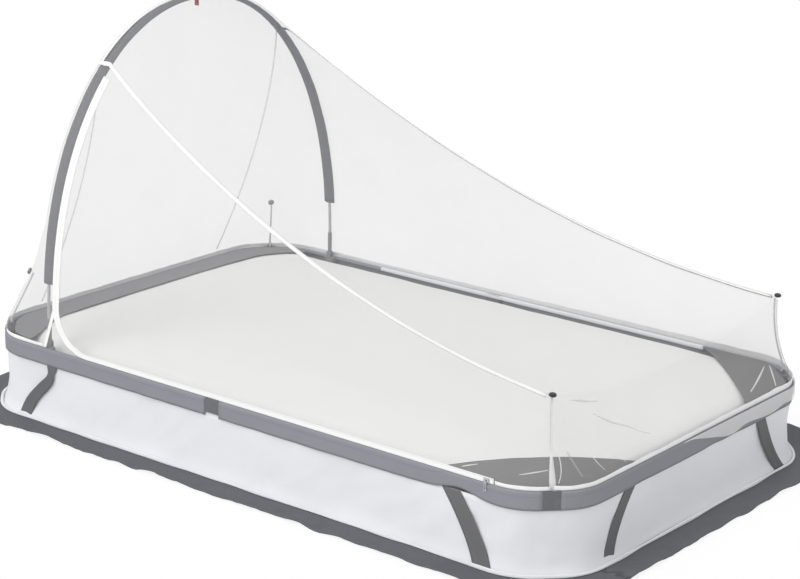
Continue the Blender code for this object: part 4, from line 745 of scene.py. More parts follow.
# %% Ground sheet
SKIRT_WIDTH, SKIRT_CORNER_RADIUS = 0.10, 0.27
SKIRT_LIFT, SKIRT_WANDER, SKIRT_RUCK = 0.009, 0.006, 0.0012
SKIRT_LOOSE = 0.088
GROUND_CLOTH, GROUND_REST = 0.0024, 0.0002
LOOP_POINTS = 420
INNER_SHARES = (0.0, 0.25, 0.5, 0.7)
OUTER_INSETS = (0.16, 0.125, 0.10, 0.088, 0.076, 0.064, 0.052, 0.040, 0.029, 0.019, 0.011, 0.005,
                0.0)
SLACK_AT = ((-0.6, 0.4, 1.0), (1.0, 0.3, 0.08))


def rounded_loop(half_x, half_y, radius, count):
    """Places and outward directions evenly spaced round a rounded rectangle."""
    straight_x, straight_y = 2 * (half_x - radius), 2 * (half_y - radius)
    arc = radius * math.pi / 2
    total = 2 * (straight_x + straight_y) + 4 * arc
    loop = []
    for share in shares(count):
        way = share * total
        for k, straight in enumerate((straight_y, straight_x, straight_y, straight_x)):
            sx, sy = ((1, 1), (-1, 1), (-1, -1), (1, -1))[k]
            start = k * math.pi / 2
            centre = (sx * (half_x - radius), sy * (half_y - radius))
            if way <= straight + arc or k == 3:
                turn = start + max(0.0, way - straight) / radius
                back = max(0.0, straight - way)
                out = (math.cos(turn), math.sin(turn))
                along = (math.sin(start), -math.cos(start))
                loop.append(((centre[0] + radius * out[0] + along[0] * back,
                              centre[1] + radius * out[1] + along[1] * back, 0.0), (*out, 0.0)))
                break
            way -= straight + arc
    return np.array([place for place, out in loop]), np.array([out for place, out in loop])


def ground_grid():
    half_x, half_y = HALF_LENGTH + SKIRT_WIDTH, HALF_WIDTH + SKIRT_WIDTH
    places, out = rounded_loop(half_x, half_y, SKIRT_CORNER_RADIUS, LOOP_POINTS)
    rows = [places * share for share in INNER_SHARES]
    for inset in OUTER_INSETS:
        row = places - out * inset
        x, y = row[:, 0], row[:, 1]
        loose = np.clip(1 - inset / SKIRT_LOOSE, 0, 1)
        wander = (ripple(x, y, 0.26, 21) - 1) * SKIRT_WANDER * np.interp(x, *SLACK_AT)
        lift = (0.55 + 0.45 * ripple(x, y, 0.15, 22)) * SKIRT_LIFT * loose ** 1.5
        lift += ripple(x, y, 0.045, 23) * SKIRT_RUCK * loose
        row = row + out * (wander * loose)[:, None]
        row[:, 2] = np.maximum(0.0, lift)
        rows.append(row)
    grid = np.array(rows)
    grid[..., 2] += GROUND_CLOTH / 2 + GROUND_REST
    grid[len(INNER_SHARES):, -1] = grid[len(INNER_SHARES):, 0]
    return grid


cloth("ground_cloth", ground_grid(), skirt_cloth, GROUND_CLOTH,
      ["ground_sheet"],
      flat=(2 * (HALF_WIDTH + SKIRT_WIDTH), 2 * (HALF_LENGTH + SKIRT_WIDTH)))
print("skirt points round the edge:", LOOP_POINTS)

# %% [markdown]
# Webbing straps cross the walls at each corner. Webbing is stiff across its width, so each one
# is a ruled strip. It bows a little off the wall, and those at the head are slack, so they are
# gathered below the rim, sway and twist.

# %% Straps
STRAP_CLOTH = 0.0014
STRAP_BOW = 0.0016
SLACK_TWIST = {HEAD: 0.0045, FOOT: 0.0006}
SLACK_SWAY = {HEAD: -0.012, FOOT: 0.0}
SLACK_LIMIT, STRAP_CUP = 0.0022, 0.0004
STRAP_NIP, STRAP_NIP_SHARE, STRAP_NIP_REACH = 0.5, 0.80, 0.13
WIDE_STRAP = 1.22


def strap_grid(end, side, run):
    lift = WALL_CLOTH / 2 + WEBBING / 2 + GAP - WALL_INSET
    width = STRAP_WIDTH * (WIDE_STRAP if (end, run) == (FOOT, "side") else 1.0)
    rows = []
    for share in shares(28):
        bow = math.sin(math.pi * share)
        sway = SLACK_SWAY[end] * math.sin(2 * math.pi * share) * (1 if run == "side" else 0.5)
        from_corner = mix(STRAP_FOOT, STRAP_TOP, share) + sway
        out = wall_offset(share) + lift + STRAP_BOW * bow
        nip = STRAP_NIP * math.exp(-((share - STRAP_NIP_SHARE) / STRAP_NIP_REACH) ** 2)
        wide = width * (1 - nip) if end == HEAD else width
        row = []
        for across in [place * 2 - 1 for place in shares(8)]:
            twist = SLACK_TWIST[end] * bow * math.sin(3 * share + 2.2) * across * 0.8
            off = out + max(twist, -SLACK_LIMIT * bow) + abs(across) * STRAP_CUP
            along = from_corner + across / 2 * wide
            place = (end * (HALF_LENGTH - along), side * (HALF_WIDTH + off))
            if run == "end":
                place = (end * (HALF_LENGTH + off), side * (HALF_WIDTH - along))
            row.append((*place, mix(WALL_LOW, WALL_HIGH, share)))
        rows.append(row)
    return np.array(rows).transpose(1, 0, 2)


for end in (HEAD, FOOT):
    for side in (FRONT, BACK):
        for run in ("side", "end"):
            name = f"strap_{END_NAME[end]}_{SIDE_NAME[side]}_{run}"
            cloth(f"{name}_webbing", strap_grid(end, side, run), strap_webbing,
                  STRAP_CLOTH, [name])
print("straps:", sum(name.startswith("strap") for name in made))

# %% [markdown]
# The mattress is a foam pad in a white cover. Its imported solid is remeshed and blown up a
# little as cloth, which rounds its edges as stuffing does. The pad must stay under the panels
# that lie on it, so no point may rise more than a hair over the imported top.

# %% Mattress
MATTRESS_EDGE_DROP, MATTRESS_CROWN = 0.006, 0.036
PAD_VOXEL, PAD_CAP, PAD_START = 0.016, 0.006, 0.003
PAD_FRAMES, PAD_PRESSURE, PAD_FILL = 20, 4.0, 0.9
PAD_RISE, PAD_CREASE, PAD_TOP_BAND = 0.0004, 0.0012, 0.03


def mattress_top(x, y):
    """Height of the crowned top, flat in the middle and falling to its edge."""
    fall_x = 1 - np.minimum(1.0, np.abs(x) / HALF_LENGTH) ** 6
    fall_y = 1 - np.minimum(1.0, np.abs(y) / HALF_WIDTH) ** 4
    return RIM_TOP - MATTRESS_EDGE_DROP + MATTRESS_CROWN * fall_x * fall_y


def mesh_places(mesh):
    places = np.empty(len(mesh.vertices) * 3, dtype=np.float32)
    mesh.vertices.foreach_get("co", places)
    return places.reshape(-1, 3).astype(float)


def set_places(mesh, places):
    mesh.vertices.foreach_set("co", places.astype(np.float32).ravel())
    mesh.update()


def make_mattress():
    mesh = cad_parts["mattress"].data.copy()
    mesh.materials.clear()
    pad = add_piece("mattress_pad", mesh, pad_cloth, nodes=["mattress"])
    remesh = pad.modifiers.new("remesh", "REMESH")
    remesh.mode, remesh.voxel_size = "VOXEL", PAD_VOXEL
    baked(pad)
    normals = np.array([v.normal for v in pad.data.vertices])
    start = mesh_places(pad.data) - normals * PAD_START
    set_places(pad.data, start)
    blown = pad.modifiers.new("cloth", "CLOTH")
    blown.settings.use_pressure = True
    blown.settings.uniform_pressure_force = PAD_PRESSURE
    blown.settings.effector_weights.gravity = 0.0
    for step in range(1, PAD_FRAMES + 1):
        bpy.context.scene.frame_set(step)
    baked(pad)
    bpy.context.scene.frame_set(1)
    moved = mesh_places(pad.data) - start
    far = np.linalg.norm(moved, axis=1, keepdims=True)
    places = start + moved * np.minimum(1.0, PAD_CAP / np.maximum(far, 1e-9))
    top = places[:, 2] > RIM_TOP - PAD_TOP_BAND
    crease = ripple(places[:, 0], places[:, 1], 0.30, 31) * PAD_CREASE
    places[top, 2] += crease[top] - PAD_CREASE
    limit = mattress_top(places[:, 0], places[:, 1]) - GAP + PAD_RISE
    places[:, 2] = np.clip(places[:, 2], GROUND_TOP + GAP, np.where(top, limit, 1.0))
    set_places(pad.data, places)
    finer = pad.modifiers.new("finer", "SUBSURF")
    finer.levels = finer.render_levels = 1
    baked(pad)
    flat = pad.data.attributes.new(FLAT, "FLOAT_VECTOR", "POINT")
    flat.data.foreach_set("vector", mesh_places(pad.data).astype(np.float32).ravel())
    pad.data.shade_smooth()
    return pad


pad = make_mattress()
print("mattress:", len(pad.data.polygons), "faces")

# %% [markdown]
# Grey cloth holds the mattress in the rim: a strip over its head end and a pocket over each
# foot corner. They lie on the pad's crown with hems along their free edges, so they share its
# curve and only ride a little higher.

# %% Head panel and corner pockets
PANEL_REST, PANEL_CLOTH = 0.0012, 0.0015
PANEL_THIN = PANEL_CLOTH * 0.8
PANEL_WAVE = 0.0012
HEM_RISE = 0.0005
POCKET_RUN, POCKET_CUT = 0.310, 0.088
HEAD_PANEL_WIDTH, HEAD_PANEL_LEG, HEAD_PANEL_INSET = 0.125, 0.185, 0.0275
HEAD_PANEL_EASE, HEAD_PANEL_LEVEL_SHARE = 0.040, 0.68
HEM_ROWS = (0.955, 0.97, 0.985, 1.0)
INNER_EDGE = 2 * CHANNEL_RADIUS + GAP


def panel_height(x, y):
    return mattress_top(x, y) + PANEL_REST + PANEL_CLOTH / 2


def laid_on_pad(flat_places, seed):
    """Lifts flat places onto the pad, with soft waves and a thicker hem along the last rows."""
    x, y = flat_places[..., 0], flat_places[..., 1]
    grid = flat_places.copy()
    wave = (ripple(x, y, 0.14, seed) + 1.0) * 0.5 * PANEL_WAVE
    grid[..., 2] = panel_height(x, y) + wave
    grid[-len(HEM_ROWS):, :, 2] += HEM_RISE
    return grid


def pocket_grid(side):
    rows = []
    for share in [*[0.94 * s for s in shares(20)], *HEM_ROWS]:
        way = mix(POCKET_CUT, POCKET_RUN, share)
        ends = [plan_point(way, INNER_EDGE, FOOT, side, run)[0] for run in ("long", "short")]
        rows.append([mix(*ends, across) for across in shares(40)])
    return laid_on_pad(np.array(rows), 50 + side)


def head_edge(y, inset):
    """Place in X of the rim's plan at a distance Y on the head side and round its corners."""
    ends = [CORNER_STRAIGHT + (RIM_BEND_RADIUS - inset) * math.pi / 4 * s for s in shares(8)]
    line = [plan_point(way, inset, HEAD, BACK, "short")[0] for way in ends[::-1]]
    line += [plan_point(way, inset, HEAD, BACK, "long")[0] for way in ends]
    return float(np.interp(abs(y), [p[1] for p in line], [p[0] for p in line]))


def head_panel_grid():
    span = HALF_WIDTH - HEAD_PANEL_INSET
    columns = []
    for share in shares(96):
        y = (2 * share - 1) * span
        at_corner = smooth((abs(y) - HALF_WIDTH + CORNER_REACH) / HEAD_PANEL_EASE)
        outer = mix(head_edge(y, INNER_EDGE), head_edge(y, HEAD_PANEL_INSET), at_corner)
        past_level = abs(2 * share - 1) - HEAD_PANEL_LEVEL_SHARE
        spread = smooth(past_level / (1 - HEAD_PANEL_LEVEL_SHARE))
        inner = -HALF_LENGTH + INNER_EDGE + mix(HEAD_PANEL_WIDTH, HEAD_PANEL_LEG, spread)
        columns.append([(mix(outer, inner, across), y, 0.0)
                        for across in [*[0.93 * s for s in shares(12)], 0.95, *HEM_ROWS[1:]]])
    return laid_on_pad(np.array(columns).transpose(1, 0, 2), 60)


for side in (FRONT, BACK):
    name = f"corner_pocket_{SIDE_NAME[side]}"
    cloth(f"{name}_cloth", pocket_grid(side)[::-1], pocket_cloth, PANEL_THIN,
          [name])
cloth("head_panel_cloth", head_panel_grid()[::-1], panel_cloth, PANEL_THIN,
      ["head_panel"])
print("panels on the pad:", sum("pocket" in name or "panel" in name for name in made))

# %% [markdown]
# The arch is one bent pole in a flat sleeve, and the net hangs over it. The arch line is a
# superellipse, a curve between an ellipse and a box, because the legs stand straighter than
# an ellipse would. The sleeve has a lens section: two layers sewn along both edges.

# %% Arch sleeve and its ribbon
ARCH_X, ARCH_HEIGHT, ARCH_INSET, ARCH_SQUARENESS = 0.281 - HALF_LENGTH, 0.897, 0.024, 2.12
ARCH_HALF, ARCH_TOP_Z = HALF_WIDTH - ARCH_INSET, RIM_TOP + ARCH_HEIGHT
PIVOT_RISE, FOOT_BOSS, FOOT_NECK, FERRULE = 0.0105, 0.0075, 0.0062, 0.055
ARCH_SPRING_Z = RIM_TOP + PIVOT_RISE + FOOT_BOSS + FOOT_NECK + FERRULE
ARCH_SLEEVE_LOW = RIM_TOP + 0.178
ARCH_SLEEVE_WIDTH, SLEEVE_CLOTH = 0.040, 0.0012
SLEEVE_OUTER = ROD_RADIUS + GAP + SLEEVE_CLOTH
SLEEVE_LENS_POWER, SLEEVE_WAVER, SLEEVE_RUCK = 1.9, 0.03, 0.0006
SLEEVE_POINTS = 28
TAB_WIDTH, TAB_LENGTH, TAB_CLOTH = 0.014, 0.020, 0.0006
TAB_BEND = 0.0009


def arch_point(angle, grow=0.0):
    """Point in Y and Z on the arch line, grown outward by grow; angle 0 is the back foot."""
    power = 2 / ARCH_SQUARENESS
    across = abs(math.cos(angle)) ** power * math.copysign(1.0, math.cos(angle))
    rise = ARCH_TOP_Z + grow - ARCH_SPRING_Z
    return (ARCH_HALF + grow) * across, ARCH_SPRING_Z + rise * abs(math.sin(angle)) ** power


def arch_y(z, grow):
    """Half width of the arch line at height z, grown outward by grow."""
    share = min(1.0, max(0.0, (z - ARCH_SPRING_Z) / (ARCH_TOP_Z + grow - ARCH_SPRING_Z)))
    return (ARCH_HALF + grow) * (1 - share ** ARCH_SQUARENESS) ** (1 / ARCH_SQUARENESS)


def arch_sleeve_grid():
    low_share = (ARCH_SLEEVE_LOW - ARCH_SPRING_Z) / (ARCH_TOP_Z - ARCH_SPRING_Z)
    first = math.asin(low_share ** (ARCH_SQUARENESS / 2))
    line = np.array([(ARCH_X, *arch_point(mix(first, math.pi - first, share)))
                     for share in shares(150)])
    along = np.gradient(line, axis=0)
    along /= np.linalg.norm(along, axis=1, keepdims=True)
    wide = np.array([1.0, 0.0, 0.0])
    outward = np.cross(wide, along)
    way = np.concatenate([[0.0], np.cumsum(np.linalg.norm(np.diff(line, axis=0), axis=1))])
    rows = []
    for share in shares(SLEEVE_POINTS):
        c, s = math.cos(2 * math.pi * share), math.sin(2 * math.pi * share)
        lens = math.copysign(1 - abs(c) ** SLEEVE_LENS_POWER, s)
        waver = 1 + SLEEVE_WAVER * ripple(way, way * 0, 0.12, 71 + (c > 0)) * abs(c)
        out = np.full(len(line), SLEEVE_OUTER * lens)
        if lens < 0:
            out -= SLEEVE_RUCK * (1 + ripple(way, way * 0, 0.05, 73))
        rows.append(line + wide * (ARCH_SLEEVE_WIDTH / 2 * c * waver)[:, None]
                    + outward * out[:, None])
    return np.array(rows)


arch_sleeve = cloth("arch_sleeve_cloth", arch_sleeve_grid(), arch_cloth, 0,
                    ["arch_sleeve"], body="arch")
thicken(arch_sleeve, SLEEVE_CLOTH * 0.7, -1.0)


def ribbon_grid():
    top = ARCH_TOP_Z - SLEEVE_OUTER - GAP
    low = TAB_LENGTH - 0.001
    path = [(-TAB_BEND, -share * low) for share in shares(6)]
    path += [(-TAB_BEND * math.cos(turn), -low - TAB_BEND * math.sin(turn))
             for turn in (0.6, 1.2, 1.9, 2.5)]
    path += [(TAB_BEND, -share * low) for share in shares(6)[::-1]]
    return np.array([[(ARCH_X + (across - 0.5) * TAB_WIDTH, y, top + z) for across in shares(4)]
                     for y, z in path]).transpose(1, 0, 2)


cloth("hang_ribbon", ribbon_grid(), tab_ribbon, TAB_CLOTH, ["hang_tab"], body="arch")
print("arch top at", round(ARCH_TOP_Z, 3), "m")

# %% [markdown]
# The net is sewn from a middle strip, two sides with head gussets, and a foot panel. It is
# stretched over the arch and the two foot stays. Each panel is ruled between the rim and the
# seam above it, with powers that let it hug the arch at one end and flare out at the other.

# %% Lines of the net
NET_RIM_INSET, NET_RIM_Z = CHANNEL_RADIUS, RIM_TOP + GAP
NET_RISE = 0.018
NET_LOW_Z = NET_RIM_Z + NET_RISE
NET_RIM_X, NET_RIM_Y = HALF_LENGTH - NET_RIM_INSET, HALF_WIDTH - NET_RIM_INSET
NET_OVER_ARCH = SLEEVE_OUTER + 0.0026
FLAT_HALF = ARCH_SLEEVE_WIDTH / 2 + BAND_CLOTH
SEAM_ANGLE = math.radians(54)
HEAD_SEAM_HALF_SPAN = 0.37
FOOT_PEAK_HEIGHT, FOOT_PEAK_INSET = 0.218, 0.034
HEAD_FLARE_POWER, FOOT_FLARE_POWER = 1.6, 2.4
RIDGE_SAG_SHARE, RIDGE_BOW_POWER = 0.205, 0.75
ROOF_HANG_SHARE, SIDE_DRAW_SHARE = 0.05, 0.020
ARCH_HOLD_POWER, GUSSET_HOLD_POWER = 2.6, 3
SHOULDER_Y, SHOULDER_Z = arch_point(SEAM_ANGLE, NET_OVER_ARCH)
PEAK_X, PEAK_Y = CORNER_X - FOOT_PEAK_INSET, CORNER_Y - FOOT_PEAK_INSET
PEAK_Z = RIM_TOP + FOOT_PEAK_HEIGHT
CROWN_Z = ARCH_TOP_Z + NET_OVER_ARCH
SIDE_RUN = straight_way(HALF_LENGTH - ARCH_X - FLAT_HALF, NET_RIM_INSET)
GUSSET_HEAD_RUN = straight_way(HALF_WIDTH - HEAD_SEAM_HALF_SPAN, NET_RIM_INSET)
GUSSET_SIDE_RUN = straight_way(HALF_LENGTH + ARCH_X - FLAT_HALF, NET_RIM_INSET)
FOOT_RUN = straight_way(HALF_WIDTH, NET_RIM_INSET)


def foot_flare(up):
    return 1 - (1 - up) ** FOOT_FLARE_POWER


def head_flare(up):
    return 1 - (1 - up) ** HEAD_FLARE_POWER


def net_section_y(z):
    """Half width of the net over the arch, drawn out to the rim below the sleeve."""
    flare = min(1.0, max(0.0, (ARCH_SLEEVE_LOW - z) / (ARCH_SLEEVE_LOW - NET_LOW_Z))) ** 2
    return mix(arch_y(z, grow=NET_OVER_ARCH), NET_RIM_Y, flare)


def ridge_point(u):
    """The ridge line from the back shoulder of the arch (0) to the back foot peak (1)."""
    sag = (SHOULDER_Z - PEAK_Z) * RIDGE_SAG_SHARE * 4 * u * (1 - u)
    return (mix(ARCH_X + FLAT_HALF, PEAK_X, u), mix(SHOULDER_Y, PEAK_Y, u ** RIDGE_BOW_POWER),
            mix(SHOULDER_Z, PEAK_Z, u) - sag)


def side_point(u, s):
    """Back side panel: u runs to the foot, s from the rim up to the ridge."""
    ridge_x, ridge_y, ridge_z = ridge_point(u)
    rim = plan_point((1 - u) * SIDE_RUN, NET_RIM_INSET, FOOT, BACK, "long")[0]
    over_arch = net_section_y(mix(NET_LOW_Z, SHOULDER_Z, s))
    arch_share = (NET_RIM_Y - over_arch) / (NET_RIM_Y - SHOULDER_Y)
    taut_share = mix(s, foot_flare(s), smooth(u))
    hold = (1 - u) ** ARCH_HOLD_POWER
    y = mix(rim[1], ridge_y, mix(taut_share, arch_share, hold))
    y -= SIDE_DRAW_SHARE * RIM_WIDTH * math.sin(math.pi * u) * math.sin(math.pi * s) * (1 - hold)
    return mix(rim[0], ridge_x, mix(s, foot_flare(s), u)), y, mix(NET_LOW_Z, ridge_z, s)


def gusset_point(a, s):
    """Back head gusset: a runs from the head seam (0) to the arch (1), s upward."""
    way = a * (GUSSET_HEAD_RUN + GUSSET_SIDE_RUN) - GUSSET_HEAD_RUN
    rim = plan_point(abs(way), NET_RIM_INSET, HEAD, BACK, "long" if way > 0 else "short")[0]
    z = mix(NET_LOW_Z, SHOULDER_Z, s)
    over_arch = (NET_RIM_Y - net_section_y(z)) / (NET_RIM_Y - SHOULDER_Y)
    inward = mix(head_flare(s), over_arch, a ** GUSSET_HOLD_POWER)
    return mix(rim[0], ARCH_X - FLAT_HALF, inward), mix(rim[1], SHOULDER_Y, inward), z


def cap_rise(v):
    """Height of the net's crown over the shoulders at a share of the half width."""
    reach = min(1.0, abs(v) * math.cos(SEAM_ANGLE) ** (2 / ARCH_SQUARENESS))
    angle = math.acos(reach ** (ARCH_SQUARENESS / 2))
    return (arch_point(angle, NET_OVER_ARCH)[1] - SHOULDER_Z) / (CROWN_Z - SHOULDER_Z)


def roof_point(u, v):
    """Middle strip from the arch to the foot peaks, v from the front ridge (-1) to the back (1)."""
    x, ridge_y, ridge_z = ridge_point(u)
    rise = (CROWN_Z - SHOULDER_Z) * (1 - u) ** 2 - ROOF_HANG_SHARE * RIM_WIDTH * smooth(u)
    return x, ridge_y * v, ridge_z + rise * cap_rise(v)


def head_strip_point(s, v):
    """The same strip behind the arch, s from the head rim (0) to the arch (1)."""
    x = mix(-NET_RIM_X, ARCH_X - FLAT_HALF, head_flare(s))
    y = mix(HEAD_SEAM_HALF_SPAN, SHOULDER_Y, head_flare(s)) * v
    return x, y, mix(NET_LOW_Z, mix(SHOULDER_Z, CROWN_Z, cap_rise(v)), s)


def foot_point(v, s):
    """Foot panel from its rim (s = 0) to the edge between the two peaks (s = 1)."""
    top = roof_point(1.0, v)
    side = BACK if v >= 0 else FRONT
    rim = plan_point((1 - abs(v)) * FOOT_RUN, NET_RIM_INSET, FOOT, side, "short")[0]
    inward = foot_flare(s)
    return mix(rim[0], top[0], inward), mix(rim[1], top[1], inward), mix(NET_LOW_Z, top[2], s)


print("ridge falls from", round(SHOULDER_Z, 3), "to", round(PEAK_Z, 3), "m")

# %% [markdown]
# Fine net never hangs perfectly smooth: it has long soft folds that run out at the seams, the
# rim and the arch, where it is held. Each panel becomes a grid that can be asked for a place
# and its outward direction, so tapes and zips lie on the folded net and not on a smooth one.

# %% Panels of the net
LEVELS = shares(46)
RUN = [share ** 1.3 for share in shares(84)]
ACROSS = [share * 2 - 1 for share in shares(44)]
OVER_SLEEVE = (0.25, 0.5, 0.75)
SLEEVE_SPAN = 0.25
DROP_ROWS = (0.0, 0.5)
DROP_SPAN = 0.04
GUSSET_COLUMNS = shares(30)
FOLD_REACH, FINE_FOLDS = 0.05, 0.35
SIDE_FOLDS, ROOF_FOLDS = 0.0040, 0.0035


def eased(values):
    held = np.clip(values, 0, 1)
    return held * held * (3 - 2 * held)


def edge_distances(grid):
    """Distances of every point from the grid's four borders: left, right, bottom and top."""
    across = np.linalg.norm(np.diff(grid, axis=1), axis=2)
    across = np.concatenate([np.zeros((len(grid), 1)), np.cumsum(across, axis=1)], axis=1)
    up = np.linalg.norm(np.diff(grid, axis=0), axis=2)
    up = np.concatenate([np.zeros((1, grid.shape[1])), np.cumsum(up, axis=0)])
    return across, across[:, -1:] - across, up, up[-1:] - up


class Panel:
    """A folded panel of net over its own shares: columns across and rows upward."""

    def __init__(self, columns, rows, point, depth, seed, lean=(2.0, 0.6), size=0.34):
        grid = np.array([[point(column, row) for column in columns] for row in rows])
        self.columns, self.rows = np.array(columns), np.array(rows)
        left, right, low, high = edge_distances(grid)
        self.along, self.up = flat_grid(grid)
        folds = ripple(self.along * lean[0], self.up * lean[1], size, seed)
        folds = folds + FINE_FOLDS * ripple(self.along, self.up, size / 3, seed + 1)
        window = eased(left / FOLD_REACH) * eased(right / FOLD_REACH)
        window *= eased((low - NET_RISE) / (2 * FOLD_REACH)) * eased(high / FOLD_REACH)
        window *= eased((np.abs(grid[..., 0] - ARCH_X) - FLAT_HALF) / (2 * FOLD_REACH))
        self.out = grid_normals(grid, from_middle)
        self.grid = grid + self.out * (folds * window * depth)[..., None]
        self.out = grid_normals(self.grid, from_middle)

    def between(self, values, column, row):
        i = float(np.interp(column, self.columns, np.arange(len(self.columns))))
        j = float(np.interp(row, self.rows, np.arange(len(self.rows))))
        i0, j0 = min(int(i), len(self.columns) - 2), min(int(j), len(self.rows) - 2)
        low = mix(values[j0, i0], values[j0, i0 + 1], i - i0)
        high = mix(values[j0 + 1, i0], values[j0 + 1, i0 + 1], i - i0)
        return mix(low, high, j - j0)

    def at(self, column, row, lift=0.0):
        return self.between(self.grid, column, row) + self.facing(column, row) * lift

    def facing(self, column, row):
        out = self.between(self.out, column, row)
        return out / max(1e-9, float(np.linalg.norm(out)))

    def strip(self, path, widths, lift, points=5):
        """Grid of a tape that follows a path of (column, row) shares on the net."""
        middle = np.array([self.at(column, row) for column, row in path])
        along = np.gradient(middle, axis=0)
        rows = []
        for k, (column, row) in enumerate(path):
            aside = np.cross(self.facing(column, row), along[k])
            aside /= np.linalg.norm(aside)
            steps = np.array([[0.004, 0.0], [0.0, 0.004]])
            steps *= np.where(np.array([column, row]) > 0.99, -1.0, 1.0)
            slopes = np.stack([(self.at(column + a, row + b) - middle[k]) / (a + b)
                               for a, b in steps], axis=1)
            turn = np.linalg.lstsq(slopes, aside, rcond=None)[0]
            offsets = [(share - 0.5) * widths[k] for share in shares(points - 1)]
            rows.append([self.at(column + turn[0] * w, row + turn[1] * w, lift) for w in offsets])
        return np.array(rows).transpose(1, 0, 2)


def mirrored(point):
    """The same panel on the front."""
    def front(column, row):
        x, y, z = point(column, row)
        return x, -y, z
    return front


def let_down(point, column, row):
    """A panel's point; rows below 0 are its lowest row let straight down to the rim."""
    if row >= 0:
        return point(column, row)
    x, y, z = point(column, 0.0)
    return x, y, mix(NET_LOW_Z, NET_RIM_Z, -row / DROP_SPAN)


def side_at(column, row):
    """Side panel with its gusset: columns below 0 cross the arch sleeve and then the gusset."""
    if column >= 0:
        return side_point(column, row)
    if column <= -SLEEVE_SPAN:
        return gusset_point(column + SLEEVE_SPAN + 1, row)
    ends = gusset_point(1.0, row), side_point(0.0, row)
    return tuple(mix(a, b, 1 + column / SLEEVE_SPAN) for a, b in zip(*ends))


def roof_at(column, row):
    """Middle strip: rows below 0 cross the arch sleeve and then go down to the head rim."""
    if row >= 0:
        return roof_point(row, column)
    if row > -SLEEVE_SPAN:
        ends = head_strip_point(1.0, column), roof_point(0.0, column)
        return tuple(mix(a, b, 1 + row / SLEEVE_SPAN) for a, b in zip(*ends))
    return let_down(lambda v, s: head_strip_point(s, v), column, row + SLEEVE_SPAN + 1)


drops = [-DROP_SPAN * (1 - share) for share in DROP_ROWS]
before = [share - 1 - SLEEVE_SPAN for share in GUSSET_COLUMNS]
sleeve_shares = [-SLEEVE_SPAN * (1 - share) for share in OVER_SLEEVE]
side_columns, side_rows = before + sleeve_shares + RUN, drops + LEVELS
roof_rows = [row - 1 - SLEEVE_SPAN for row in side_rows] + sleeve_shares + RUN


def held_side(column, row):
    return let_down(side_at, column, row)


def held_foot(column, row):
    return let_down(foot_point, column, row)


net_sides = {BACK: Panel(side_columns, side_rows, held_side, SIDE_FOLDS, 201),
             FRONT: Panel(side_columns, side_rows, mirrored(held_side), SIDE_FOLDS, 211)}
net_roof = Panel(ACROSS, roof_rows, roof_at, ROOF_FOLDS, 221, lean=(1.2, 0.8))
net_foot = Panel(ACROSS, side_rows, held_foot, SIDE_FOLDS, 231, lean=(1.4, 1.2), size=0.22)
net_panels = [net_sides[FRONT], net_sides[BACK], net_roof, net_foot]
print("net panels:", [panel.grid.shape[:2] for panel in net_panels])

# %% [markdown]
# The four panels become one mesh, welded where they are sewn, so the canopy is a single cloth.
# It is a thin see-through layer, as netting is.

# %% Canopy
canopy_mesh = grid_mesh("canopy", [(panel.grid, panel.along, panel.up) for panel in net_panels])
canopy = add_piece("canopy", canopy_mesh, net_mesh,
                   nodes=["net_roof", "net_foot", "net_front", "net_back"])
folds_with_arch(canopy)


def trim(name, grid, material, thickness=0.0, nodes=(), sinks=True):
    """A tape, hem or crease of the canopy."""
    along, up = flat_grid(grid)
    piece = add_piece(name, grid_mesh(name, [(grid, along, up)]), material, nodes=nodes)
    if thickness:
        thicken(piece, thickness)
    if sinks:
        folds_with_arch(piece)


net_area = sum(grid_area(panel.grid) for panel in net_panels)

# %% [markdown]
# The seams are where the net is sewn: a white binding along each ridge, a plain felled seam at
# the head corners, and a gathered one below each foot peak. A binding is folded over the seam,
# so it bends with the two panels.

# %% Seams
TAPE_HALF, TAPE_CLOTH, TAPE_REST = 0.007, 0.0007, 0.0012
SEAM_HALF, SEAM_REST = 0.004, 0.0004
CORNER_SEAM_HALVES, CORNER_SEAM_REST = (0.008, 0.0022), 0.0006
SEAM_END_SHARE = 0.990


def seam_grid(first, second, halves, lift):
    """Grid of a binding over a seam between two panels, from a border of each."""
    rows = []
    for (seam, aside_a, out_a), (_, aside_b, out_b), half in zip(first, second, halves):
        a, b = ((aside - seam) / np.linalg.norm(aside - seam) for aside in (aside_a, aside_b))
        middle = out_a + out_b
        middle /= np.linalg.norm(middle)
        raised = seam + middle * lift / max(0.5, float(middle @ out_a))
        rows.append([seam + a * half + out_a * lift, seam + a * half / 2 + out_a * lift, raised,
                     seam + b * half / 2 + out_b * lift, seam + b * half + out_b * lift])
    return np.array(rows).transpose(1, 0, 2)


def border(panel, places, aside):
    """Seam places on one panel with a place aside from each and the way the panel faces."""
    return [(panel.at(c, r), panel.at(c + aside[0], r + aside[1]),
             panel.facing(c + aside[0], r + aside[1])) for c, r in places]


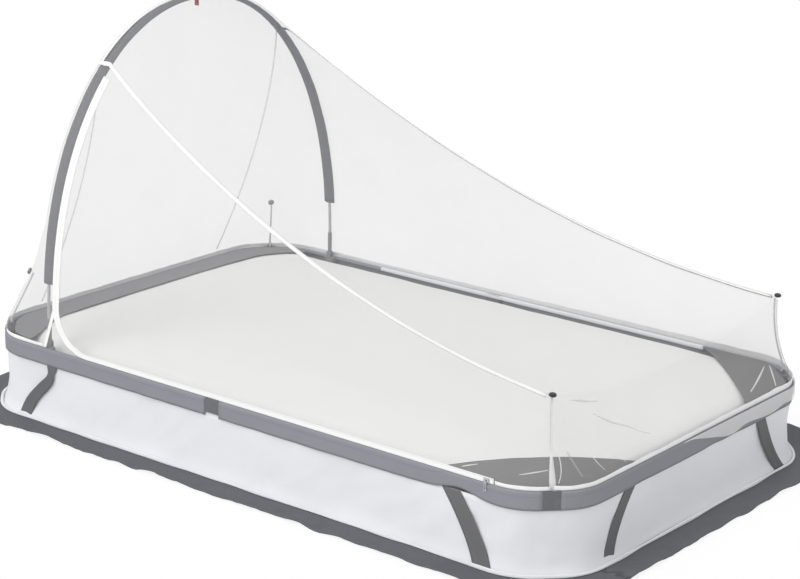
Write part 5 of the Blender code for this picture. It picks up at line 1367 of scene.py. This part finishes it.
def make_seams(side):
    name, panel = SIDE_NAME[side], net_sides[side]
    runs = [mix(-0.24, 0.0, share) for share in shares(8)]
    runs += [SEAM_END_SHARE * share ** 1.3 for share in shares(90)[1:]]
    ridge_side = border(panel, [(u, 1.0) for u in runs], (0.0, -0.015))
    ridge_roof = border(net_roof, [(side, u) for u in runs], (-0.02 * side, 0.0))
    halves = [TAPE_HALF * (1 + 0.10 * math.sin(40 * u + side)) for u in runs]
    trim(f"seam_tape_{name}_binding", seam_grid(ridge_side, ridge_roof, halves, TAPE_REST),
         tape_cloth, TAPE_CLOTH, [f"seam_tape_{name}"])
    downs = [share * 0.985 for share in shares(60)]
    head_side = border(panel, [(-1 - SLEEVE_SPAN, s) for s in downs], (0.02, 0.0))
    head_roof = border(net_roof, [(side, s - 1 - SLEEVE_SPAN) for s in downs], (-0.02 * side, 0.0))
    # The front head seam is darker net, painted shade; the back one is doubled net.
    trim(f"head_seam_{name}",
         seam_grid(head_side, head_roof, [SEAM_HALF] * len(downs), SEAM_REST),
         net_doubled if side == BACK else net_shaded)
    ups = [mix(-DROP_SPAN, 0.96, share) for share in shares(60)]
    corner_side = border(panel, [(1.0, s) for s in ups], (-0.01, 0.0))
    corner_foot = border(net_foot, [(side, s) for s in ups], (-0.02 * side, 0.0))
    halves = [mix(*CORNER_SEAM_HALVES, smooth((s + DROP_SPAN) / 0.5)) for s in ups]
    trim(f"corner_seam_{name}", seam_grid(corner_side, corner_foot, halves, CORNER_SEAM_REST),
         net_doubled)


for side in (FRONT, BACK):
    make_seams(side)

# %% [markdown]
# The door is a zip in the front panel: down beside the arch, round a bend and along the rim to
# the foot. A short strip carries on down from the bend to the rim. The tape is white, with a
# coil of fine teeth down its middle. A narrow binding marks where the net is sewn to the sleeve.

# %% Door zip
ZIP_WIDTH, ZIP_RIM_WIDTH, ZIP_CLOTH, ZIP_LIFT = 0.024, 0.014, 0.0009, 0.0017
ZIP_BESIDE_SLEEVE, ZIP_BEND_HEIGHT, ZIP_BEND_REACH = 0.016, 0.120, 0.130
ZIP_END_FROM_FOOT, ZIP_TOP_BELOW_SEAM = 0.190, 0.030
ZIP_MIDDLE = ZIP_RIM_WIDTH / 2 + GAP
ZIP_X = ARCH_X + FLAT_HALF + ZIP_BESIDE_SLEEVE
STRIP_FOOT_X, STRIP_WIDTH, STRIP_OUT, STRIP_CLOTH = ARCH_X + 0.002, 0.012, 0.0040, 0.0006
STRIP_BESIDE_ZIP, STRIP_BELOW_BEND, STRIP_UNDER_TAPE = 0.003, 0.004, 0.0012
BINDING_WIDTH, BINDING_CLOTH, BINDING_REST, BINDING_SHARE = 0.009, 0.0005, 0.0008, 0.80


def on_side(x, height):
    """Column and row of the side panel at x and a height over the rim."""
    past = x - ARCH_X - FLAT_HALF
    u = past / SIDE_RUN if past > 0 else past / (2 * FLAT_HALF) * SLEEVE_SPAN
    if height <= NET_RISE:
        return u, -DROP_SPAN * (1 - height / NET_RISE)
    return u, (height - NET_RISE) / (ridge_point(max(0.0, u))[2] - NET_LOW_Z)


def zip_line():
    """Places of the zip from its top to the foot: x, height over the rim and tape width."""
    bend = ZIP_BEND_HEIGHT + ZIP_MIDDLE
    top = SHOULDER_Z - NET_RIM_Z - ZIP_TOP_BELOW_SEAM
    line = [(ZIP_X, mix(top, bend, share), ZIP_WIDTH) for share in shares(70)]
    for share in shares(26)[1:]:
        turn = share * math.pi / 2
        line.append((ZIP_X + ZIP_BEND_REACH * (1 - math.cos(turn)),
                     ZIP_MIDDLE + ZIP_BEND_HEIGHT * (1 - math.sin(turn)),
                     mix(ZIP_WIDTH, ZIP_RIM_WIDTH, share)))
    ends = ZIP_X + ZIP_BEND_REACH, HALF_LENGTH - ZIP_END_FROM_FOOT
    line += [(mix(*ends, share), ZIP_MIDDLE, ZIP_RIM_WIDTH) for share in shares(150)[1:]]
    return line, bend


def make_zip():
    front, (line, bend) = net_sides[FRONT], zip_line()
    tape = front.strip([on_side(x, height) for x, height, _ in line],
                       [width for _, _, width in line], ZIP_LIFT, points=9)
    trim("door_zip_tape", tape, zip_cloth, ZIP_CLOTH, ["door_zip"])
    top = front.at(*on_side(ZIP_X - STRIP_BESIDE_ZIP, bend - STRIP_BELOW_BEND),
                   ZIP_LIFT - STRIP_UNDER_TAPE)
    foot = np.array([STRIP_FOOT_X, -NET_RIM_Y - STRIP_OUT, NET_RIM_Z + 0.002])
    taut = [[mix(top, foot, share) + np.array([(across - 0.5) * STRIP_WIDTH, 0, 0])
             for share in shares(24)] for across in shares(4)]
    trim("door_strip", np.array(taut), tape_cloth, STRIP_CLOTH)


def make_arch_binding():
    line = [(share * 2 - 1, -SLEEVE_SPAN * BINDING_SHARE) for share in shares(60)]
    grid = net_roof.strip(line, [BINDING_WIDTH] * len(line), BINDING_REST)
    trim("arch_binding", grid, tape_cloth, BINDING_CLOTH)


make_zip()
make_arch_binding()

# %% [markdown]
# A white hem binds the net's lower edge to the rim, as a folded tape sewn on all round would.
# It is narrow along the sides and wider at the foot, where it is ruffled. It stops at both
# ends of the door, because the zip takes its place there.

# %% Hem
HEM_CLOTH, HEM_OUT, HEM_REST, HEM_STEP, HEM_END = 0.0009, 0.0012, 0.0006, 0.009, 0.004
HEM_RUFFLE, HEM_TOP_WAVE = 0.0009, 0.0012
HEM_SIDE, HEM_FOOT_NEAR, HEM_FOOT_FAR = 0.010, 0.011, 0.017
long_way, short_way = (edge_length(edge, NET_RIM_INSET) for edge in ("back", "foot"))


def rim_way(x):
    """Distance along a long side from its head corner to the place at x."""
    return long_way / 2 + x


def hem_grid(edge, start, stop, heights, seed):
    """Hem along one side of the rim between two distances, with a height at each end."""
    count = max(8, round((stop - start) / HEM_STEP))
    places, outward = along_edge(edge, start, stop, count, NET_RIM_INSET)
    tall = np.array([mix(*heights, smooth(share)) for share in shares(count)])
    grid = np.array([places + outward * HEM_OUT + UP * (NET_RIM_Z + HEM_REST + tall * up)[:, None]
                     for up in shares(5)])
    along, up = flat_grid(grid)
    ruffle = (ripple(along, up, 0.07, seed) + 1) * HEM_RUFFLE * (up / max(heights))
    grid[..., 2] += ripple(along, up * 0, 0.09, seed + 1) * HEM_TOP_WAVE * (up / max(heights))
    return grid + outward[None] * np.clip(ruffle, 0, None)[..., None]


HEMS = (("hem_back", "back", HEM_END, long_way - HEM_END, (HEM_SIDE, HEM_FOOT_FAR), 301),
        ("hem_head", "head", HEM_END, short_way - HEM_END, (HEM_SIDE, HEM_SIDE), 303),
        ("hem_foot", "foot", HEM_END, short_way - HEM_END, (HEM_FOOT_NEAR, HEM_FOOT_FAR), 305),
        ("hem_front_head", "front", HEM_END, rim_way(STRIP_FOOT_X - 0.007),
         (HEM_SIDE, HEM_SIDE), 307),
        ("hem_front_foot", "front", rim_way(HALF_LENGTH - ZIP_END_FROM_FOOT + 0.003),
         long_way - HEM_END, (HEM_SIDE, HEM_FOOT_NEAR), 309))
for name, *run in HEMS:
    trim(name, hem_grid(*run), tape_cloth, HEM_CLOTH)
print("hems:", len(HEMS))

# %% [markdown]
# Spare net hangs outside the rim, from the middle of the foot round its far corner. It is the
# same net left loose below its hem, so it is one short ruled flap that sways a little.

# %% Flap
FLAP_DEPTH, FLAP_OUT, FLAP_START, FLAP_REST = 0.040, 0.0026, 0.50, 0.0015
FLAP_BELLY, FLAP_SWAY = 0.004, 0.0012


def make_flap():
    stations = [edge_place("foot", mix(FLAP_START, short_way, share), -FLAP_OUT)
                for share in shares(70)]
    stations += [edge_place("back", long_way - way, -FLAP_OUT) for way in (0.02, 0.04, 0.06, 0.08)]
    columns = []
    for k, (place, outward) in enumerate(stations):
        share = k / (len(stations) - 1)
        depth = FLAP_DEPTH * smooth(share * 3.2) * (1 - 0.35 * smooth((share - 0.8) * 5))
        depth = max(0.002, depth * (1 + 0.10 * math.sin(share * 23)))
        sway = FLAP_SWAY * math.sin(share * 40)
        columns.append([place + outward * up * (FLAP_BELLY * (1 - up) + sway)
                        + UP * (RIM_TOP + FLAP_REST - depth * up) for up in shares(8)])
    return np.array(columns).transpose(1, 0, 2)[::-1]


trim("foot_flap", make_flap(), net_doubled)
print("flap below the rim:", FLAP_DEPTH, "m")

# %% [markdown]
# Pressed pleats run up from the foot corners, where the net was folded and packed. The bright
# ones are doubled net, so each is a narrow strip of doubled net that lies on its panel. The faint
# ones are strips of darker net that stand for the shade in a crease: painted shade. A row names
# the panel, the shares it runs through, its width and its finish.

# %% Pleats
PLEAT_REST = 0.0012
# The faint pleats are darker net, painted shade in their creases; the bright ones are doubled net.
PAINTED_CREASE_SHADE, BRIGHT = net_shaded, net_doubled
PLEATS = ((net_foot, ((-0.773, 0.251), (-0.75, 0.13), (-0.727, 0.03)), 0.0040, BRIGHT),
          (net_foot, ((-0.605, 0.110), (-0.575, 0.01)), 0.0040, BRIGHT),
          (net_foot, ((-0.909, 0.334), (-0.885, 0.19), (-0.864, 0.04)), 0.0080, PAINTED_CREASE_SHADE),
          (net_foot, ((-0.980, 0.400), (-0.955, 0.200), (-0.975, 0.0)), 0.0035, BRIGHT),
          (net_sides[FRONT], ((0.855, 0.008), (0.880, 0.060)), 0.0035, BRIGHT),
          (net_sides[FRONT], ((0.951, 0.065), (0.975, 0.105), (0.994, 0.138)), 0.0030, BRIGHT),
          (net_foot, ((-0.860, 0.950), (-0.640, 0.862)), 0.0050, PAINTED_CREASE_SHADE),
          (net_foot, ((-0.690, 0.700), (-0.520, 0.450), (-0.318, 0.166)), 0.0050, PAINTED_CREASE_SHADE),
          (net_foot, ((0.727, 0.270), (0.620, 0.170), (0.500, 0.083)), 0.0060, BRIGHT),
          (net_foot, ((0.773, 0.251), (0.735, 0.130), (0.688, 0.018)), 0.0070, BRIGHT))


def along_path(corners, count):
    """Evenly spaced places on a smooth curve through a few places."""
    t = np.linspace(0, 1, len(corners))
    fits = [np.polyfit(t, [corner[k] for corner in corners], len(corners) - 1) for k in (0, 1)]
    return [tuple(float(np.polyval(fit, s)) for fit in fits) for s in shares(count)]


def pleat_taper(share):
    return 0.25 + 0.75 * math.sin(math.pi * min(0.85, 0.08 + share))


for k, (panel, corners, width, finish) in enumerate(PLEATS):
    widths = [width * pleat_taper(share) for share in shares(20)]
    trim(f"pleat_{k}", panel.strip(along_path(corners, 20), widths, PLEAT_REST, points=3),
         finish)
print("pleats:", len(PLEATS))

# %% [markdown]
# The net's foot carries a white lining down over the back rim's inner side, sewn in with the
# rim sleeve. It follows the sleeve's round, and its lower edge wanders as a cut edge does.

# %% Lining
LINING_ENDS, LINING_TURNS, LINING_REST = (-0.52, 0.64), (107, 212), 0.0012
LINING_START_TURN, LINING_WANDER = 12, 5


def lining_grid():
    share = np.array(shares(120))
    start, stop = (rim_way(x) for x in LINING_ENDS)
    places, outward = along_edge("back", start, stop, 120, CHANNEL_RADIUS)
    lowest = LINING_TURNS[1] - LINING_START_TURN * eased(1 - share * 6)
    lowest = lowest + LINING_WANDER * np.sin(37 * share) * np.sin(11 * share)
    radius, rows = CHANNEL_RADIUS + LINING_REST, []
    for up in shares(10):
        turn = np.radians(mix(LINING_TURNS[0], lowest, up))
        rows.append(places + outward * (radius * np.cos(turn))[:, None]
                    + UP * (RIM_TOP - CHANNEL_RADIUS + radius * np.sin(turn))[:, None])
    return np.array(rows)


trim("rim_lining", lining_grid(), wall_cloth, sinks=False)

# %% [markdown]
# The canopy is one mesh; its count of faces is printed.

# %% The canopy's faces
print("canopy:", len(canopy.data.polygons), "faces")
